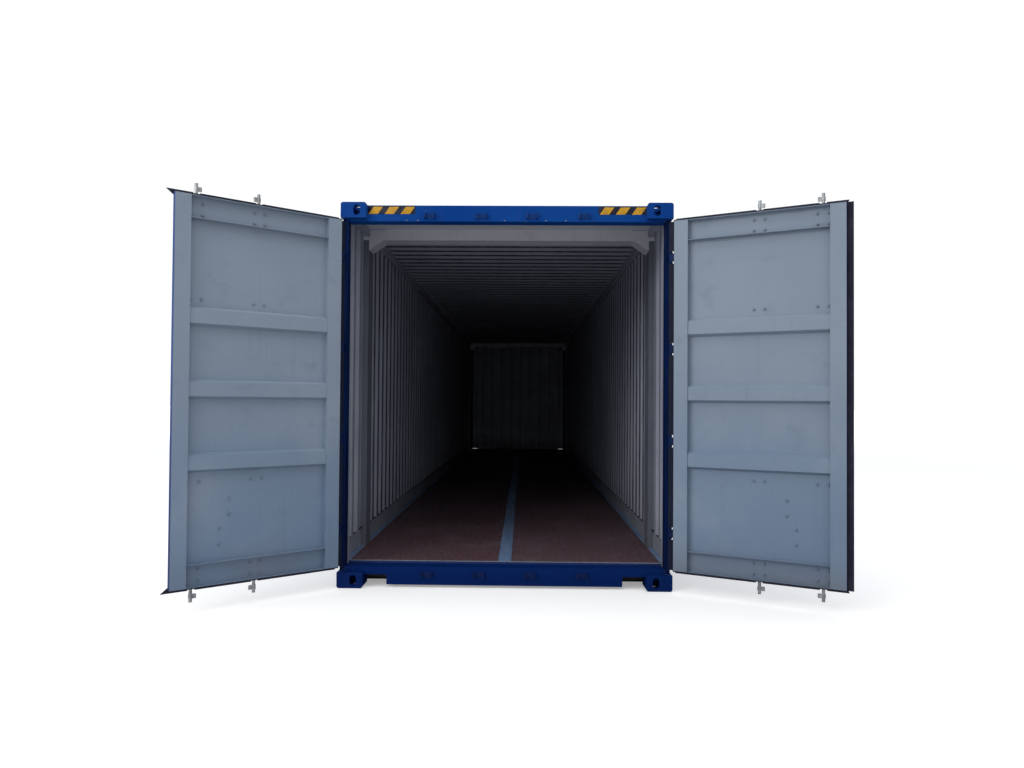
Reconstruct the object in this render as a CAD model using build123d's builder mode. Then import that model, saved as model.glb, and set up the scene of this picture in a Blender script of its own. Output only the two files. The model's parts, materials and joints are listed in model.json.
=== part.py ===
from build123d import *
import math
import os

os.makedirs("parts", exist_ok=True)

# Forty-five foot pallet-wide high-cube container, doors open.
# X runs along the container with the doors at -X, Y is across, Z is up.
# The origin is on the ground plane, at the centre of the four bottom corner apertures.

# overall body
length = 13716.0
width = 2500.0
height = 2896.0
steel_sheet = 2.0
steel_pressing = 6.0
weld_gap = 0.5

# corner fittings
fitting_length = 178.0
fitting_width = 193.0
fitting_height = 118.0
fitting_edge_radius = 18.0
fitting_plate = 28.0
fitting_back = 12.0
aperture_length = 124.0
aperture_width = 63.5
aperture_from_end = 103.5
aperture_from_side = 120.5
end_hole_height = 79.5
end_hole_width = 51.0
side_hole_height = 79.5
side_hole_width = 63.5
middle_fitting_setback = 762.0

# levels
base_clearance = 20.0
floor_top = 170.0
floor_thickness = 28.0
roof_below_fitting = 6.0
roof_wave_depth = 20.0

# walls
wall_inset = 4.0
side_wave_depth = 25.0
wave_pitch = 200.0
wave_flat_share = 0.26
front_wave_depth = 40.0
front_wave_pitch = 250.0

# rails
top_rail_size = 60.0
top_rail_wall = 3.0
bottom_rail_height = 305.0
bottom_rail_flange = 48.0
bottom_rail_wall = 4.5
bottom_rail_shelf = 28.0
cross_member_flange = 45.0
cross_member_wall = 4.5
cross_member_pitch = 305.0

# gooseneck tunnel
tunnel_length = 3315.0
tunnel_width = 1029.0
tunnel_depth = 120.0
tunnel_plate = 4.0

# door end frame
frame_recess = 46.0
opening_from_side = 50.0
sill_top = 154.0
header_drop = 135.0
header_depth = 110.0
header_below_fitting = 14.0
sill_depth = 150.0
sill_wall = 6.0
sill_notch_length = 172.0
sill_notch_top = 95.0
sill_bend = 8.0
post_inner_start = 112.0
post_inner_wall = 12.0
post_step = 7.0
post_step_length = 36.0
front_post_inset = 4.0
front_post_width = 60.0
front_sill_depth = 60.0
middle_post_depth = 50.0
middle_post_wall = 4.0
middle_beam_height = 91.0
gusset_width = 128.0
gusset_height = 86.0
header_wall = 4.0
roof_plate_length = 1200.0
roof_plate_thickness = 3.0
floor_setback = 20.0
floor_edge_gap = 2.0
centre_strip_width = 100.0
centre_strip_wall = 4.0
edge_angle_wall = 3.0
threshold_overlap = 20.0
threshold_thickness = 5.0

# doors
left_door_open = 141.0
right_door_open = 153.3
hinge_pin_from_side = 16.0
hinge_pin_depth = 24.0
hinge_pin_diameter = 16.0
hinge_bore_clearance = 0.5
hinge_knuckle_radius = 14.0
hinge_knuckle_height = 60.0
hinge_blade_thickness = 10.0
hinge_blade_length = 150.0
hinge_blade_standoff = 5.0
hinge_count = 4
hinge_end_distance = 260.0
lug_thickness = 14.0
lug_gap = 1.0
lug_cut = 8.0
leaf_edge_gap = 10.0
leaf_centre_gap = 68.0
leaf_end_gap = 16.0
leaf_thickness = 50.0
leaf_outer_depth = 22.0
leaf_tube_width = 100.0
leaf_tube_wall = 3.2
leaf_channel_height = 150.0
leaf_channel_wall = 3.0
leaf_channel_setback = 5.0
rib_height = 128.0
rib_slope = 18.0
rib_depth = 40.0
rib_shares = (0.316, 0.504, 0.691)
gasket_side_projection = 5.0
gasket_end_projection = 9.0
gasket_depths = (28.0, 66.0)
gasket_fin = 43.0
gasket_fin_thickness = 5.0
gasket_lip_depth = 11.0
gasket_lip_rise = 28.0
gasket_lip_seat = 8.0
gasket_lip_reaches = (44.0, 15.0)
gasket_rod_clearance = 5.0

# lock gear
inner_rod_across = 180.0
outer_rod_from_opening = 605.0
rod_diameter = 34.0
rod_shoulder = 10.0
shank_diameter = 22.0
rod_past_cam = 38.0
cam_level = 100.0
cam_from_top = 95.0
bracket_shares = (0.028, 0.266, 0.736, 0.967)
bracket_height = 60.0
bracket_width = 92.0
bracket_wall = 5.0
bracket_clearance = 0.8
strap_sides = 8
cam_height = 30.0
cam_reach = 36.0
cam_heel = 14.0
cam_width = 12.0
cam_cut = 4.0
keeper_clearance = 5.0
keeper_wall = 11.0
keeper_plate = 3.0
keeper_cut = 5.0
keeper_height = 40.0
handle_levels = (680.0, 484.0)
handle_length = 345.0
handle_width = 30.0
handle_thickness = 12.0
handle_pivot = 46.0
handle_clearance = 0.5
handle_cut = 8.0
fork_wall = 5.0
fork_round = 14.0
fork_cut = 8.0
inner_retainer_reach = 230.0
outer_retainer_reach = 245.0
retainer_width = 50.0
retainer_wall = 6.0
retainer_plate_half = 70.0
retainer_gap = 5.0
retainer_reach = 12.0
retainer_keep_height = 40.0

# derived places
rear = -length / 2
front = length / 2
half_width = width / 2
post_depth = fitting_length
roof_top = height - roof_below_fitting
rail_top = roof_top - roof_wave_depth - steel_sheet
rail_bottom = rail_top - top_rail_size
wall_outer = half_width - wall_inset
side_rail_top = base_clearance + bottom_rail_height
floor_half = wall_outer - bottom_rail_flange - floor_edge_gap
cross_member_top = floor_top - floor_thickness
cross_member_bottom = base_clearance + bottom_rail_wall
post_face = rear + frame_recess
opening_half = half_width - opening_from_side
header_top = height - header_below_fitting
header_bottom = height - header_drop
hinge_pin_across = half_width - hinge_pin_from_side
leaf_bottom = sill_top + leaf_end_gap
leaf_top = header_bottom - leaf_end_gap
leaf_height = leaf_top - leaf_bottom
leaf_inner_depth = leaf_outer_depth + leaf_thickness
leaf_start = hinge_pin_across - opening_half + leaf_edge_gap
leaf_end = hinge_pin_across - leaf_centre_gap / 2
rib_levels = [leaf_bottom + share * leaf_height for share in rib_shares]
bracket_levels = [leaf_bottom + share * leaf_height for share in bracket_shares]
rod_across = (inner_rod_across, opening_half - outer_rod_from_opening)
retainer_across = (rod_across[0] + inner_retainer_reach, rod_across[1] - outer_retainer_reach)
cam_levels = (cam_level, height - cam_from_top)
rod_bottom = cam_levels[0] - rod_past_cam
rod_top = cam_levels[1] + rod_past_cam
middle_end = length / 2 - middle_fitting_setback
low = (Align.MIN, Align.MIN, Align.MIN)
middle_low = (Align.CENTER, Align.CENTER, Align.MIN)


def save(builder, name):
    builder.part.label = name
    export_step(builder.part, f"parts/{name}.step")


def bar(x_range, y_range, z_range, mode=Mode.ADD):
    # one rectangular block between two corners
    sizes = [abs(high - start) for start, high in (x_range, y_range, z_range)]
    corner = [min(pair) for pair in (x_range, y_range, z_range)]
    with Locations(tuple(corner)):
        Box(*sizes, align=low, mode=mode)


# corner fitting with its apertures, at the -X, -Y, bottom corner; a middle one has no end hole
def fitting_block(corner_x, corner_y, end_hole):
    with BuildPart() as block:
        bar(
            (corner_x, corner_x + fitting_length),
            (corner_y, corner_y + fitting_width),
            (0, fitting_height),
        )
        lower_edges = block.faces().sort_by(Axis.Z)[0].edges().filter_by(Axis.X)
        fillet(lower_edges, fitting_edge_radius)
        bar(
            (corner_x + fitting_plate, corner_x + fitting_length - fitting_back),
            (corner_y + fitting_plate, corner_y + fitting_width - fitting_back),
            (fitting_plate, fitting_height - fitting_back),
            mode=Mode.SUBTRACT,
        )
        hole_x = corner_x + aperture_from_end
        hole_y = corner_y + aperture_from_side
        hole_z = fitting_height / 2
        with BuildSketch(Plane.XY):
            with Locations((hole_x, hole_y)):
                SlotOverall(aperture_length, aperture_width)
        extrude(amount=fitting_plate, mode=Mode.SUBTRACT)
        side_plane = Plane(origin=(hole_x, corner_y, hole_z), x_dir=(0, 0, 1), z_dir=(0, 1, 0))
        with BuildSketch(side_plane):
            SlotOverall(side_hole_height, side_hole_width)
        extrude(amount=fitting_plate, mode=Mode.SUBTRACT)
        if end_hole:
            end_plane = Plane(origin=(corner_x, hole_y, hole_z), x_dir=(0, 0, 1), z_dir=(1, 0, 0))
            with BuildSketch(end_plane):
                SlotOverall(end_hole_height, end_hole_width)
            extrude(amount=fitting_plate, mode=Mode.SUBTRACT)
    return block.part


end_fitting = fitting_block(rear, -half_width, True)
middle_fitting = fitting_block(-middle_end, -half_width, False)

with BuildPart() as bottom_fittings:
    add(end_fitting)
    add(middle_fitting)
    mirror(about=Plane.YZ)
    mirror(about=Plane.XZ)
save(bottom_fittings, "bottom_fittings")

with BuildPart() as top_fittings:
    add(mirror(bottom_fittings.part, about=Plane.XY.offset(height / 2)))
save(top_fittings, "top_fittings")


def pressing(points, wall, inside):
    # closed outline of a pressed sheet, from the outside of its bends
    with BuildLine() as outline:
        Polyline(*points)
        offset(amount=wall, side=inside, kind=Kind.INTERSECTION)
    make_face(outline.edges())


# rear posts: outer pressing, stepped in at the hinges, and a heavy inner channel beside the opening
post_bottom = fitting_height
post_top = height - fitting_height
post_height = post_top - post_bottom
flange_end = wall_outer - steel_pressing - weld_gap
with BuildPart() as rear_posts:
    with BuildSketch(Plane.XY.offset(post_bottom)):
        pressing(
            [
                (rear + post_depth, wall_outer),
                (post_face + post_step_length + post_step, wall_outer),
                (post_face + post_step_length, wall_outer - post_step),
                (post_face, wall_outer - post_step),
                (post_face, opening_half),
                (rear + post_inner_start, opening_half),
            ],
            steel_pressing,
            Side.LEFT,
        )
        pressing(
            [
                (rear + post_inner_start, flange_end),
                (rear + post_inner_start, opening_half),
                (rear + post_depth, opening_half),
                (rear + post_depth, flange_end),
            ],
            post_inner_wall,
            Side.LEFT,
        )
    extrude(amount=post_height)
    mirror(about=Plane.XZ)
save(rear_posts, "rear_posts")

# front posts: one pressing wrapped round the corner
with BuildPart() as front_posts:
    with BuildSketch(Plane.XY.offset(post_bottom)):
        pressing(
            [
                (front - post_depth, wall_outer),
                (front - front_post_inset, wall_outer),
                (front - front_post_inset, wall_outer - front_post_width),
                (front - front_post_inset - front_wave_depth, wall_outer - front_post_width),
            ],
            steel_pressing,
            Side.RIGHT,
        )
    extrude(amount=post_height)
    mirror(about=Plane.XZ)
save(front_posts, "front_posts")

# posts of the two inner frames, between their fittings
with BuildPart() as middle_posts:
    with BuildSketch(Plane.XY.offset(post_bottom)):
        with Locations((middle_end - fitting_length / 2, wall_outer - middle_post_depth / 2)):
            Rectangle(fitting_length, middle_post_depth)
            Rectangle(
                fitting_length - 2 * middle_post_wall,
                middle_post_depth - 2 * middle_post_wall,
                mode=Mode.SUBTRACT,
            )
    extrude(amount=post_height)
    mirror(about=Plane.YZ)
    mirror(about=Plane.XZ)
save(middle_posts, "middle_posts")

# door header: a closed box between the top fittings, with a strip under each fitting to the post
fitting_inner = half_width - fitting_width
header_end = post_face + header_depth
with BuildPart() as door_header:
    bar((post_face, header_end), (-fitting_inner, fitting_inner), (header_bottom, header_top))
    bar(
        (post_face + header_wall, header_end - header_wall),
        (-fitting_inner + header_wall, fitting_inner - header_wall),
        (header_bottom + header_wall, header_top - header_wall),
        mode=Mode.SUBTRACT,
    )
    for side in (1, -1):
        bar(
            (post_face, header_end),
            (side * (fitting_inner + weld_gap), side * opening_half),
            (header_bottom, post_top),
        )
save(door_header, "door_header")

# door sill: a hollow beam with an open notch below it beside each fitting
sill_end = post_face + sill_depth
sill_half_outline = [
    (fitting_inner - sill_notch_length, base_clearance),
    (fitting_inner - sill_notch_length, sill_notch_top),
    (fitting_inner, sill_notch_top),
    (fitting_inner, fitting_height),
    (opening_half, fitting_height),
    (opening_half, sill_top),
]
sill_outline = sill_half_outline + [(-y, z) for y, z in reversed(sill_half_outline)]
with BuildPart() as door_sill:
    with BuildSketch(Plane.YZ.offset(post_face)):
        with BuildLine():
            Polyline(*sill_outline, close=True)
        sill_face = make_face()
        notch_corners = [
            corner for corner in sill_face.vertices() if abs(corner.X) < fitting_inner - weld_gap
        ]
        fillet(notch_corners, radius=sill_bend)
    extrude(amount=sill_depth)
    with BuildSketch(Plane.YZ.offset(post_face + sill_wall)):
        with BuildLine():
            Polyline(*sill_outline, close=True)
        make_face()
        offset(amount=-sill_wall, kind=Kind.INTERSECTION, mode=Mode.REPLACE)
    extrude(amount=sill_depth - 2 * sill_wall, mode=Mode.SUBTRACT)
save(door_sill, "door_sill")

# angle that stands on the sill and covers the start of the floor
floor_start = rear + post_depth + floor_setback
with BuildPart() as threshold_plate:
    with BuildSketch(Plane.XZ.offset(-floor_half)):
        pressing(
            [
                (sill_end - threshold_overlap, sill_top),
                (sill_end - threshold_overlap, floor_top),
                (floor_start, floor_top),
            ],
            threshold_thickness,
            Side.RIGHT,
        )
    extrude(amount=2 * floor_half)
save(threshold_plate, "threshold_plate")

# front frame: upper and lower cross rails
front_rail_end = front - front_post_inset
with BuildPart() as front_top_rail:
    with BuildSketch(Plane.XZ.offset(-fitting_inner)):
        with Locations((front_rail_end - top_rail_size / 2, rail_top - top_rail_size / 2)):
            Rectangle(top_rail_size, top_rail_size)
            Rectangle(
                top_rail_size - 2 * top_rail_wall,
                top_rail_size - 2 * top_rail_wall,
                mode=Mode.SUBTRACT,
            )
    extrude(amount=2 * fitting_inner)
save(front_top_rail, "front_top_rail")

tunnel_half = tunnel_width / 2
tunnel_roof = base_clearance + tunnel_depth
with BuildPart() as front_bottom_rail:
    bar(
        (front_rail_end - front_sill_depth, front_rail_end),
        (-fitting_inner, fitting_inner),
        (base_clearance, floor_top),
    )
    bar(
        (front_rail_end - front_sill_depth + sill_wall, front_rail_end - sill_wall),
        (-fitting_inner, fitting_inner),
        (base_clearance + sill_wall, floor_top - sill_wall),
        mode=Mode.SUBTRACT,
    )
    bar(
        (front_rail_end - front_sill_depth, front_rail_end),
        (-tunnel_half - tunnel_plate, tunnel_half + tunnel_plate),
        (base_clearance, tunnel_roof),
        mode=Mode.SUBTRACT,
    )
save(front_bottom_rail, "front_bottom_rail")

# side rails run in three bays between the fittings
bays = [
    (rear + fitting_length, -middle_end),
    (-middle_end + fitting_length, middle_end - fitting_length),
    (middle_end, front - fitting_length),
]
with BuildPart() as top_side_rails:
    for start, stop in bays:
        with BuildSketch(Plane.YZ.offset(start)):
            with Locations((wall_outer - top_rail_size / 2, rail_top - top_rail_size / 2)):
                Rectangle(top_rail_size, top_rail_size)
                Rectangle(
                    top_rail_size - 2 * top_rail_wall,
                    top_rail_size - 2 * top_rail_wall,
                    mode=Mode.SUBTRACT,
                )
        extrude(amount=stop - start)
    mirror(about=Plane.XZ)
save(top_side_rails, "top_side_rails")

# bottom rails rise above the floor as a plain band, with a shelf that carries the wall sheet
with BuildPart() as bottom_side_rails:
    for start, stop in bays:
        with BuildSketch(Plane.YZ.offset(start)):
            pressing(
                [
                    (wall_outer - bottom_rail_flange, base_clearance),
                    (wall_outer, base_clearance),
                    (wall_outer, side_rail_top),
                    (wall_outer - bottom_rail_shelf, side_rail_top),
                ],
                bottom_rail_wall,
                Side.LEFT,
            )
        extrude(amount=stop - start)
    mirror(about=Plane.XZ)
save(bottom_side_rails, "bottom_side_rails")


def wave(start, stop, pitch, depth, flat_share):
    # trapezoid wave from start to stop: pairs of place along and depth, flat at both ends
    flat = pitch * flat_share
    slope = pitch / 2 - flat
    count = int((stop - start - flat) // pitch)
    first = (start + stop - count * pitch) / 2 + flat / 2
    points = [(start, 0)]
    for index in range(count):
        place = first + index * pitch
        points += [
            (place, 0),
            (place + slope, depth),
            (place + slope + flat, depth),
            (place + 2 * slope + flat, 0),
        ]
    return points + [(stop, 0)]


# corrugated side walls in the same three bays
wall_bays = [
    (rear + post_depth, -middle_end),
    bays[1],
    (middle_end, front - post_depth),
]
with BuildPart() as side_wall_left:
    for start, stop in wall_bays:
        with BuildSketch(Plane.XY.offset(side_rail_top)):
            pressing(
                [
                    (x, wall_outer - depth)
                    for x, depth in wave(start, stop, wave_pitch, side_wave_depth, wave_flat_share)
                ],
                steel_sheet,
                Side.RIGHT,
            )
        extrude(amount=rail_bottom - side_rail_top)
save(side_wall_left, "side_wall_left")

with BuildPart() as side_wall_right:
    add(mirror(side_wall_left.part, about=Plane.XZ))
save(side_wall_right, "side_wall_right")

# corrugated front wall
front_wall_half = wall_outer - front_post_width
with BuildPart() as front_wall:
    with BuildSketch(Plane.XY.offset(floor_top)):
        pressing(
            [
                (front_rail_end - depth, y)
                for y, depth in wave(
                    -front_wall_half, front_wall_half, front_wave_pitch, front_wave_depth, wave_flat_share
                )
            ],
            steel_sheet,
            Side.LEFT,
        )
    extrude(amount=rail_bottom - floor_top)
    for side in (1, -1):
        bar(
            (front - fitting_length, front),
            (side * (fitting_inner - weld_gap), side * half_width),
            (post_top - weld_gap, height),
            mode=Mode.SUBTRACT,
        )
save(front_wall, "front_wall")

# roof: a die-pressed sheet between two flat end plates
roof_reach = length / 2 - roof_plate_length
with BuildPart() as roof_panel:
    with BuildSketch(Plane.XZ.offset(-wall_outer)):
        pressing(
            [
                (x, rail_top + depth)
                for x, depth in wave(-roof_reach, roof_reach, wave_pitch, roof_wave_depth, wave_flat_share)
            ],
            steel_sheet,
            Side.LEFT,
        )
    extrude(amount=2 * wall_outer)
save(roof_panel, "roof_panel")

with BuildPart() as roof_end_plates:
    bar(
        (roof_reach, front_rail_end),
        (-wall_outer, wall_outer),
        (rail_top, rail_top + roof_plate_thickness),
    )
    bar(
        (-roof_reach, header_end),
        (-wall_outer, wall_outer),
        (rail_top, rail_top + roof_plate_thickness),
    )
    for start in (rear, -middle_end, middle_end - fitting_length, front - fitting_length):
        for side in (1, -1):
            bar(
                (start - weld_gap, start + fitting_length + weld_gap),
                (side * (fitting_inner - weld_gap), side * half_width),
                (rail_top, rail_top + roof_plate_thickness),
                mode=Mode.SUBTRACT,
            )
save(roof_end_plates, "roof_end_plates")

# beams across the two inner frames, under the roof, with gussets in their corners
middle_beam_half = fitting_inner
with BuildPart() as middle_frame_beams:
    with BuildSketch(Plane.XZ.offset(-middle_beam_half)):
        with Locations((middle_end - fitting_length / 2, rail_top - middle_beam_height / 2)):
            Rectangle(fitting_length, middle_beam_height)
            Rectangle(
                fitting_length - 2 * middle_post_wall,
                middle_beam_height - 2 * middle_post_wall,
                mode=Mode.SUBTRACT,
            )
    extrude(amount=2 * middle_beam_half)
    mirror(about=Plane.YZ)
save(middle_frame_beams, "middle_frame_beams")

post_inner = wall_outer - middle_post_depth
with BuildPart() as middle_frame_gussets:
    with BuildSketch(Plane.YZ.offset(middle_end - fitting_length)):
        with BuildLine():
            Polyline(
                (post_inner, post_top),
                (post_inner - gusset_width, post_top),
                (post_inner, post_top - gusset_height),
                close=True,
            )
        make_face()
    extrude(amount=fitting_length)
    mirror(about=Plane.YZ)
    mirror(about=Plane.XZ)
save(middle_frame_gussets, "middle_frame_gussets")

# floor frame: channels across, then short ones beside the tunnel
tunnel_start = front - tunnel_length
rail_web = wall_outer - bottom_rail_wall


def cross_channel(place, inner, outer):
    # one channel on its side, open towards the doors, between two places across
    with BuildSketch(Plane.XZ.offset(-outer)) as section:
        pressing(
            [
                (place, cross_member_bottom),
                (place + cross_member_flange, cross_member_bottom),
                (place + cross_member_flange, cross_member_top),
                (place, cross_member_top),
            ],
            cross_member_wall,
            Side.LEFT,
        )
    extrude(section.sketch, amount=outer - inner)


def spread(start, stop, pitch):
    # even places from start to stop, about a pitch apart
    count = int((stop - start) // pitch)
    return [start + index * (stop - start) / count for index in range(count + 1)]


def cross_reach(place):
    # channels stop at the fittings where they would run into them
    for fitting_start in (-middle_end, middle_end - fitting_length):
        if fitting_start - cross_member_flange < place < fitting_start + fitting_length:
            return fitting_inner
    return rail_web


outrigger_start = tunnel_half + tunnel_plate
outrigger_span = (tunnel_start, front_rail_end - front_sill_depth - cross_member_flange)
with BuildPart() as cross_members:
    for place in spread(floor_start, tunnel_start - cross_member_flange, cross_member_pitch):
        cross_channel(place, -cross_reach(place), cross_reach(place))
    for place in spread(*outrigger_span, cross_member_pitch)[1:-1]:
        cross_channel(place, outrigger_start, cross_reach(place))
        cross_channel(place, -cross_reach(place), -outrigger_start)
save(cross_members, "cross_members")

with BuildPart() as gooseneck_tunnel:
    with BuildSketch(Plane.YZ.offset(tunnel_start)):
        pressing(
            [
                (-tunnel_half - tunnel_plate, base_clearance),
                (-tunnel_half - tunnel_plate, tunnel_roof),
                (tunnel_half + tunnel_plate, tunnel_roof),
                (tunnel_half + tunnel_plate, base_clearance),
            ],
            tunnel_plate,
            Side.RIGHT,
        )
    extrude(amount=tunnel_length - front_post_inset)
save(gooseneck_tunnel, "gooseneck_tunnel")

# plywood floor in two halves beside a steel centre strip
wall_inner = wall_outer - side_wave_depth - steel_sheet
strip_half = centre_strip_width / 2
floor_end = front_rail_end - front_sill_depth - floor_edge_gap
with BuildPart() as floor_left:
    bar(
        (floor_start, floor_end),
        (strip_half + weld_gap, floor_half),
        (cross_member_top, floor_top),
    )
    bar(
        (-middle_end - weld_gap, -middle_end + fitting_length + weld_gap),
        (post_inner - weld_gap, half_width),
        (cross_member_top, floor_top),
        mode=Mode.SUBTRACT,
    )
    bar(
        (middle_end - fitting_length - weld_gap, middle_end + weld_gap),
        (post_inner - weld_gap, half_width),
        (cross_member_top, floor_top),
        mode=Mode.SUBTRACT,
    )
save(floor_left, "floor_left")

with BuildPart() as floor_right:
    add(mirror(floor_left.part, about=Plane.XZ))
save(floor_right, "floor_right")

with BuildPart() as floor_centre_strip:
    with BuildSketch(Plane.YZ.offset(floor_start)):
        pressing(
            [
                (-strip_half, cross_member_top),
                (-strip_half, floor_top),
                (strip_half, floor_top),
                (strip_half, cross_member_top),
            ],
            centre_strip_wall,
            Side.RIGHT,
        )
    extrude(amount=floor_end - floor_start)
save(floor_centre_strip, "floor_centre_strip")

# steel angles that close the gap between the floor and the side rails
edge_angle_inner = floor_half + weld_gap
with BuildPart() as floor_edge_angles:
    for start, stop in bays:
        with BuildSketch(Plane.YZ.offset(max(start, floor_start))):
            pressing(
                [
                    (edge_angle_inner, cross_member_top),
                    (edge_angle_inner, floor_top),
                    (rail_web, floor_top),
                ],
                edge_angle_wall,
                Side.RIGHT,
            )
        extrude(amount=min(stop, floor_end) - max(start, floor_start))
    mirror(about=Plane.XZ)
save(floor_edge_angles, "floor_edge_angles")


# keepers for the cams: a plate with a cheek on each side of the rod, open outward
def cam_keeper(rod_y, hook, level):
    cheek_end = rear + hinge_pin_depth - cam_width / 2 - keeper_clearance
    near = rod_y - hook * (cam_heel + keeper_clearance)
    far = rod_y + hook * (cam_reach + keeper_clearance)
    with BuildSketch(Plane.XY.offset(level - keeper_height / 2)) as section:
        with BuildLine() as outline:
            Polyline(
                (post_face, near - hook * keeper_wall),
                (cheek_end + keeper_cut, near - hook * keeper_wall),
                (cheek_end, near - hook * (keeper_wall - keeper_cut)),
                (cheek_end, near),
                (post_face - keeper_plate, near),
                (post_face - keeper_plate, far),
                (cheek_end, far),
                (cheek_end, far + hook * (keeper_wall - keeper_cut)),
                (cheek_end + keeper_cut, far + hook * keeper_wall),
                (post_face, far + hook * keeper_wall),
                close=True,
            )
        make_face(outline.edges())
    extrude(section.sketch, amount=keeper_height)


with BuildPart() as cam_keepers:
    for side in (1, -1):
        for across, hook in zip(rod_across, (side, -side)):
            for level in cam_levels:
                cam_keeper(side * across, hook, level)
save(cam_keepers, "cam_keepers")

# hinge lugs in pairs on the rear posts, each pair with its pin
hinge_span = leaf_top - leaf_bottom - 2 * hinge_end_distance
hinge_levels = [
    leaf_bottom + hinge_end_distance + index * hinge_span / (hinge_count - 1)
    for index in range(hinge_count)
]
lug_start = hinge_knuckle_height / 2 + lug_gap
lug_nose = rear + hinge_pin_depth - hinge_knuckle_radius
lug_sides = (hinge_pin_across - hinge_knuckle_radius, hinge_pin_across + hinge_knuckle_radius)
lug_outline = [
    (post_face, lug_sides[0]),
    (lug_nose + lug_cut, lug_sides[0]),
    (lug_nose, lug_sides[0] + lug_cut),
    (lug_nose, lug_sides[1] - lug_cut),
    (lug_nose + lug_cut, lug_sides[1]),
    (post_face, lug_sides[1]),
]
with BuildPart() as hinge_lugs:
    for level in hinge_levels:
        for bottom in (level + lug_start, level - lug_start - lug_thickness):
            with BuildSketch(Plane.XY.offset(bottom)):
                with BuildLine():
                    Polyline(*lug_outline, close=True)
                make_face()
            extrude(amount=lug_thickness)
        with BuildSketch(Plane.XY.offset(level - lug_start - lug_thickness)):
            with Locations((rear + hinge_pin_depth, hinge_pin_across)):
                Circle(hinge_pin_diameter / 2)
        extrude(amount=2 * (lug_start + lug_thickness))
    mirror(about=Plane.XZ)
save(hinge_lugs, "hinge_lugs")


# doors: each leaf is drawn from its hinge pin, x along the leaf, y through it, at its open angle
def leaf_plane(side, opened):
    turn = math.radians(90 + opened)
    return Plane(
        origin=(rear + hinge_pin_depth, side * hinge_pin_across, 0),
        x_dir=(math.cos(turn), -side * math.sin(turn), 0),
        z_dir=(0, 0, 1),
    )


def across_plane(leaf, along):
    # upright plane square to the leaf, its x through the leaf and its y upward
    place = leaf.from_local_coords((along, 0, 0))
    return Plane(origin=place, x_dir=leaf.y_dir, z_dir=leaf.x_dir)


def face_plane(leaf, along, depth, level):
    # upright plane parallel to the leaf, its x along the leaf
    place = leaf.from_local_coords((along, depth, level))
    return Plane(origin=place, x_dir=leaf.x_dir, z_dir=leaf.y_dir)


def cut_bar(plane, middle, size_along, size_across, cut, amount):
    # flat bar with its four corners cut off, drawn on a plane
    with BuildSketch(plane) as section:
        with Locations((middle, 0)):
            Rectangle(size_along, size_across)
        chamfer(section.vertices(), length=cut)
    extrude(section.sketch, amount=amount)


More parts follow.
